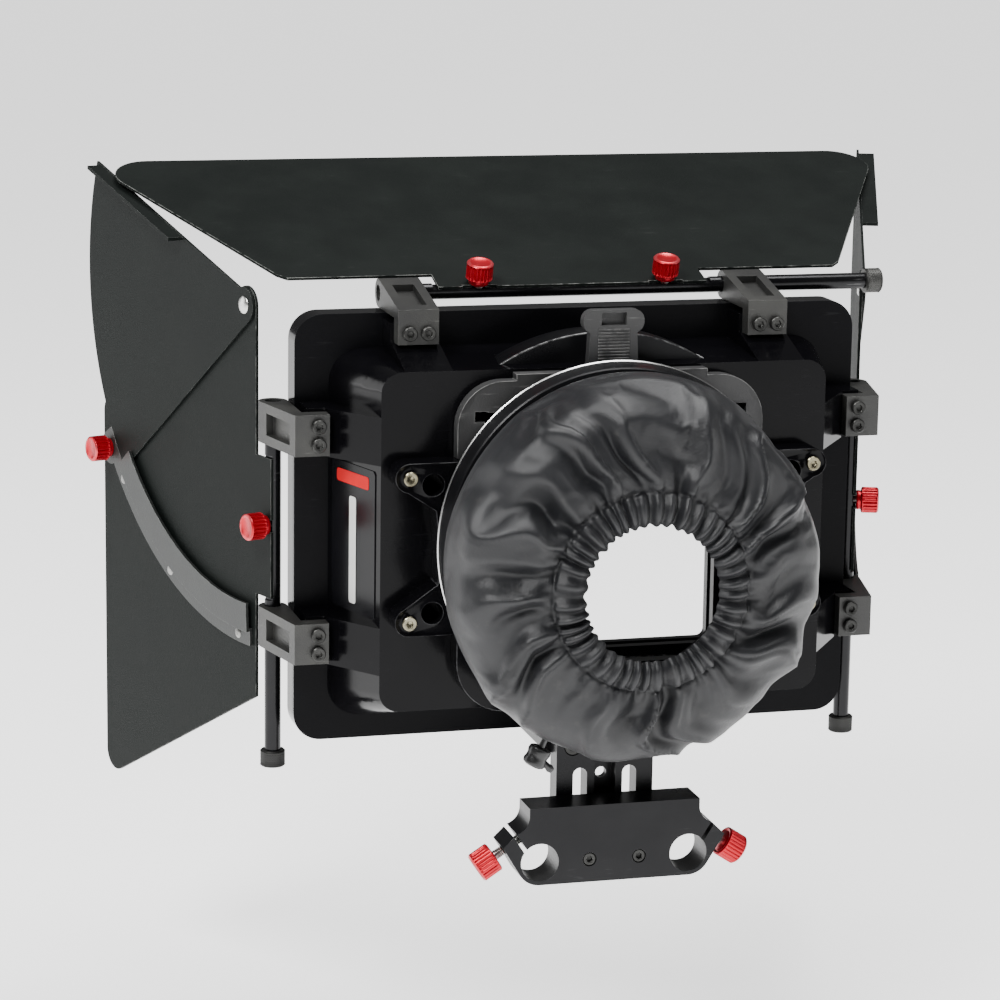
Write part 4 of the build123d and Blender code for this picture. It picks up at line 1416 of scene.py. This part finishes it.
@dataclass
class SideFlag:
    """One side flag with its folding fan, arc guide, rivets, pin and thumbscrews."""

    side: Side
    edge: float = 0.00028
    rivet_reach: float = 0.1325
    rivet_turns: tuple[float, ...] = (-41.0, -63.0, -88.0)
    pin_head: float = 0.0066
    flat_low: float = 0.0915
    flat_high: float = 0.1493
    pivot_sink: float = 0.0038
    fan_face: float = 0.00435
    guide_face: float = 0.0042
    flag_back: float = 0.0018
    knob: Thumbscrew = field(default_factory=lambda: Thumbscrew(0.0053, 0.0071, 0.002, 0.004, 0.0056, 20))

    def make(self, shop: Workshop) -> None:
        """Build this side's pieces.

        Args:
            shop: The workshop that dresses them.
        """
        hand = self.side.value
        shop.refined(f"{hand}_flag", f"{hand}_flag_sheet", FLAG, self.edge, 2)
        shop.refined(f"{hand}_fan", f"{hand}_fan_sheet", FLAG, self.edge, 2)
        shop.refined(f"{hand}_arc_guide", f"{hand}_arc_guide_strip", GUIDE, 0.0004, 3)
        self.rivets(shop)
        hinge = Vector(shop.joints[f"{hand}_flag_swing"]["pos_m"])
        low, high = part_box(f"{hand}_hinge_pin")
        start = Vector((hinge.x, hinge.y, low.z))
        span = (self.flat_low - low.z, self.flat_high - low.z)
        normal = Vector(shop.joints[f"{hand}_flag_knob_turn"]["axis"])
        body, length, up = f"{hand}_flag", high.z - low.z, Vector((0, 0, 1))
        HingePin(f"{hand}_hinge_pin", body, start, up, length, self.pin_head, span, normal).make(shop)
        for place in ("flag_knob", "fan_knob"):
            node = f"{hand}_{place}"
            self.knob.make(shop, node, shop.axis_of(f"{node}_turn"))

    def rivets(self, shop: Workshop) -> None:
        """Set the pivot rivet and the guide's rivets.

        Args:
            shop: The workshop that dresses them.
        """
        hand = self.side.value
        turn = -1.0 if self.side is Side.LEFT else 1.0
        out = Vector(shop.joints[f"{hand}_flag_knob_turn"]["axis"])
        up = Vector((0, 0, 1))
        across = up.cross(out) * turn
        pivot = Vector(shop.joints[f"{hand}_fan_fold"]["pos_m"]) - out * self.pivot_sink
        dome = [(0.0, 0.001), (0.0012, 0.00094), (0.0024, 0.0007), (0.0033, 0.0003), (0.0035, 0.0), (0.0, -0.0002)]
        tail = [(0.0, 0.0008), (0.002, 0.0007), (0.003, 0.0002), (0.003, 0.0), (0.0, 0.0)]
        stem = [(0.0, 0.0), (0.002, 0.0), (0.002, 0.0026), (0.0, 0.0026)]
        button = [(0.0, 0.0006), (0.0011, 0.00054), (0.0019, 0.0003), (0.0022, 0.0), (0.0, -0.0001)]
        pivot_parts = [
            (dome, 48, pivot + out * self.fan_face, out),
            (tail, 48, pivot + out * self.flag_back, -out),
            (stem, 32, pivot + out * self.flag_back, out),
        ]
        body = f"{hand}_flag"
        shop.piece(f"{body}_pivot_rivet", joined(self.turned(pivot_parts)), STEEL, body, [f"{body}_rivets"])
        buttons = []
        for angle in self.rivet_turns:
            spot = pivot + self.rivet_reach * (across * cos(radians(angle)) + up * sin(radians(angle)))
            buttons += [(button, 32, spot + out * self.guide_face, out)]
            buttons += [(button, 32, spot + out * self.flag_back, -out)]
        shop.piece(f"{body}_guide_rivets", joined(self.turned(buttons)), SCREW, body)

    @staticmethod
    def turned(rows: Iterable[tuple[Outline, int, Vector, Vector]]) -> list[bmesh.types.BMesh]:
        """Turn several small pieces, each where it stands.

        Args:
            rows: Outline, faces round it, place and direction of each.

        Returns:
            The pieces, one bmesh each.
        """
        made = []
        for outline, steps, place, way in rows:
            mesh = lathe(outline, steps)
            mesh.transform(facing(place, way))
            made.append(mesh)
        return made


@dataclass
class Studio:
    """Pale floor, soft lights and the camera."""

    yaw: float = 15.361
    pitch: float = 11.998
    roll: float = 0.868
    place: Vector = field(default_factory=lambda: Vector((-0.38377, -1.22179, 0.41292)))
    lens: float = 124.293
    floor: float = -0.10

    def make(self) -> None:
        """Set up the floor, lights, world and camera."""
        self.backdrop()
        self.lights()
        self.camera()

    def backdrop(self) -> None:
        """Lay a flat pale floor disc under the box."""
        mesh = bmesh.new()
        bmesh.ops.create_circle(mesh, cap_ends=True, segments=64, radius=9.0)
        bmesh.ops.translate(mesh, vec=(0.0, 0.0, self.floor), verts=mesh.verts[:])
        data = bpy.data.meshes.new("studio_floor")
        mesh.to_mesh(data)
        mesh.free()
        floor = bpy.data.objects.new("studio_floor", data)
        bpy.context.scene.collection.objects.link(floor)
        graph = Graph("studio_white")
        where = graph.add("ShaderNodeTexCoord", {}, {}, "Object")
        tone = graph.cloud(where, 2.0)
        data.materials.append(
            graph.finish(
                {
                    "Base Color": graph.mix(tone, (0.86, 0.86, 0.86), (0.9, 0.9, 0.9)),
                    "Roughness": 0.9,
                    "Emission Color": (1.0, 1.0, 1.0, 1.0),
                    "Emission Strength": 1.5,
                }
            )
        )

    def lights(self) -> None:
        """Hang large soft lights round the box."""
        world = bpy.data.worlds.new("studio_world")
        world.use_nodes = True
        background = world.node_tree.nodes["Background"]
        background.inputs["Color"].default_value = (1.0, 1.0, 1.0, 1.0)
        background.inputs["Strength"].default_value = 0.12
        bpy.context.scene.world = world
        target = Vector((0.0, 0.05, 0.12))
        soft = (
            ("key_light", (-0.9, -0.7, 1.4), 0.55, 30.0),
            ("top_light", (0.2, 0.1, 1.6), 0.8, 26.0),
            ("fill_light", (1.3, -0.6, 0.5), 0.6, 5.0),
            ("rim_light", (-1.5, 0.9, 0.5), 0.9, 8.0),
        )
        for name, spot, size, power in soft:
            light = bpy.data.lights.new(name, "AREA")
            light.size = size
            light.energy = power
            lamp = bpy.data.objects.new(name, light)
            lamp.location = spot
            lamp.rotation_mode = "QUATERNION"
            lamp.rotation_quaternion = (target - Vector(spot)).to_track_quat("-Z", "Y")
            bpy.context.scene.collection.objects.link(lamp)

    def camera(self) -> None:
        """Stand the camera behind the box and to its left."""
        yaw, pitch, roll = radians(self.yaw), radians(self.pitch), radians(self.roll)
        ahead = Vector((sin(yaw) * cos(pitch), cos(yaw) * cos(pitch), -sin(pitch)))
        level = Vector((cos(yaw), -sin(yaw), 0.0))
        upright = level.cross(ahead)
        right = level * cos(roll) + upright * sin(roll)
        up = upright * cos(roll) - level * sin(roll)
        lens = bpy.data.cameras.new("camera")
        lens.lens = self.lens
        lens.sensor_width = 36.0
        lens.clip_start, lens.clip_end = 0.05, 50.0
        camera = bpy.data.objects.new("camera", lens)
        turn = Matrix((right, up, -ahead)).transposed().to_4x4()
        camera.matrix_world = Matrix.Translation(self.place) @ turn
        bpy.context.scene.collection.objects.link(camera)
        bpy.context.scene.camera = camera


def main() -> None:
    """Build every sub-assembly in order."""
    logging.basicConfig(level=logging.INFO, format="%(name)s: %(message)s")
    shop = Workshop(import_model())
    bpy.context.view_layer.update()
    Studio().make()
    for assembly in (
        RodClamp(),
        Housing(),
        FilterStages(),
        LensDonut(),
        TopFlag(),
        SideFlag(Side.LEFT),
        SideFlag(Side.RIGHT),
    ):
        LOG.info("building %s", type(assembly).__name__)
        assembly.make(shop)
    bpy.context.view_layer.update()


if __name__ == "__main__":
    main()
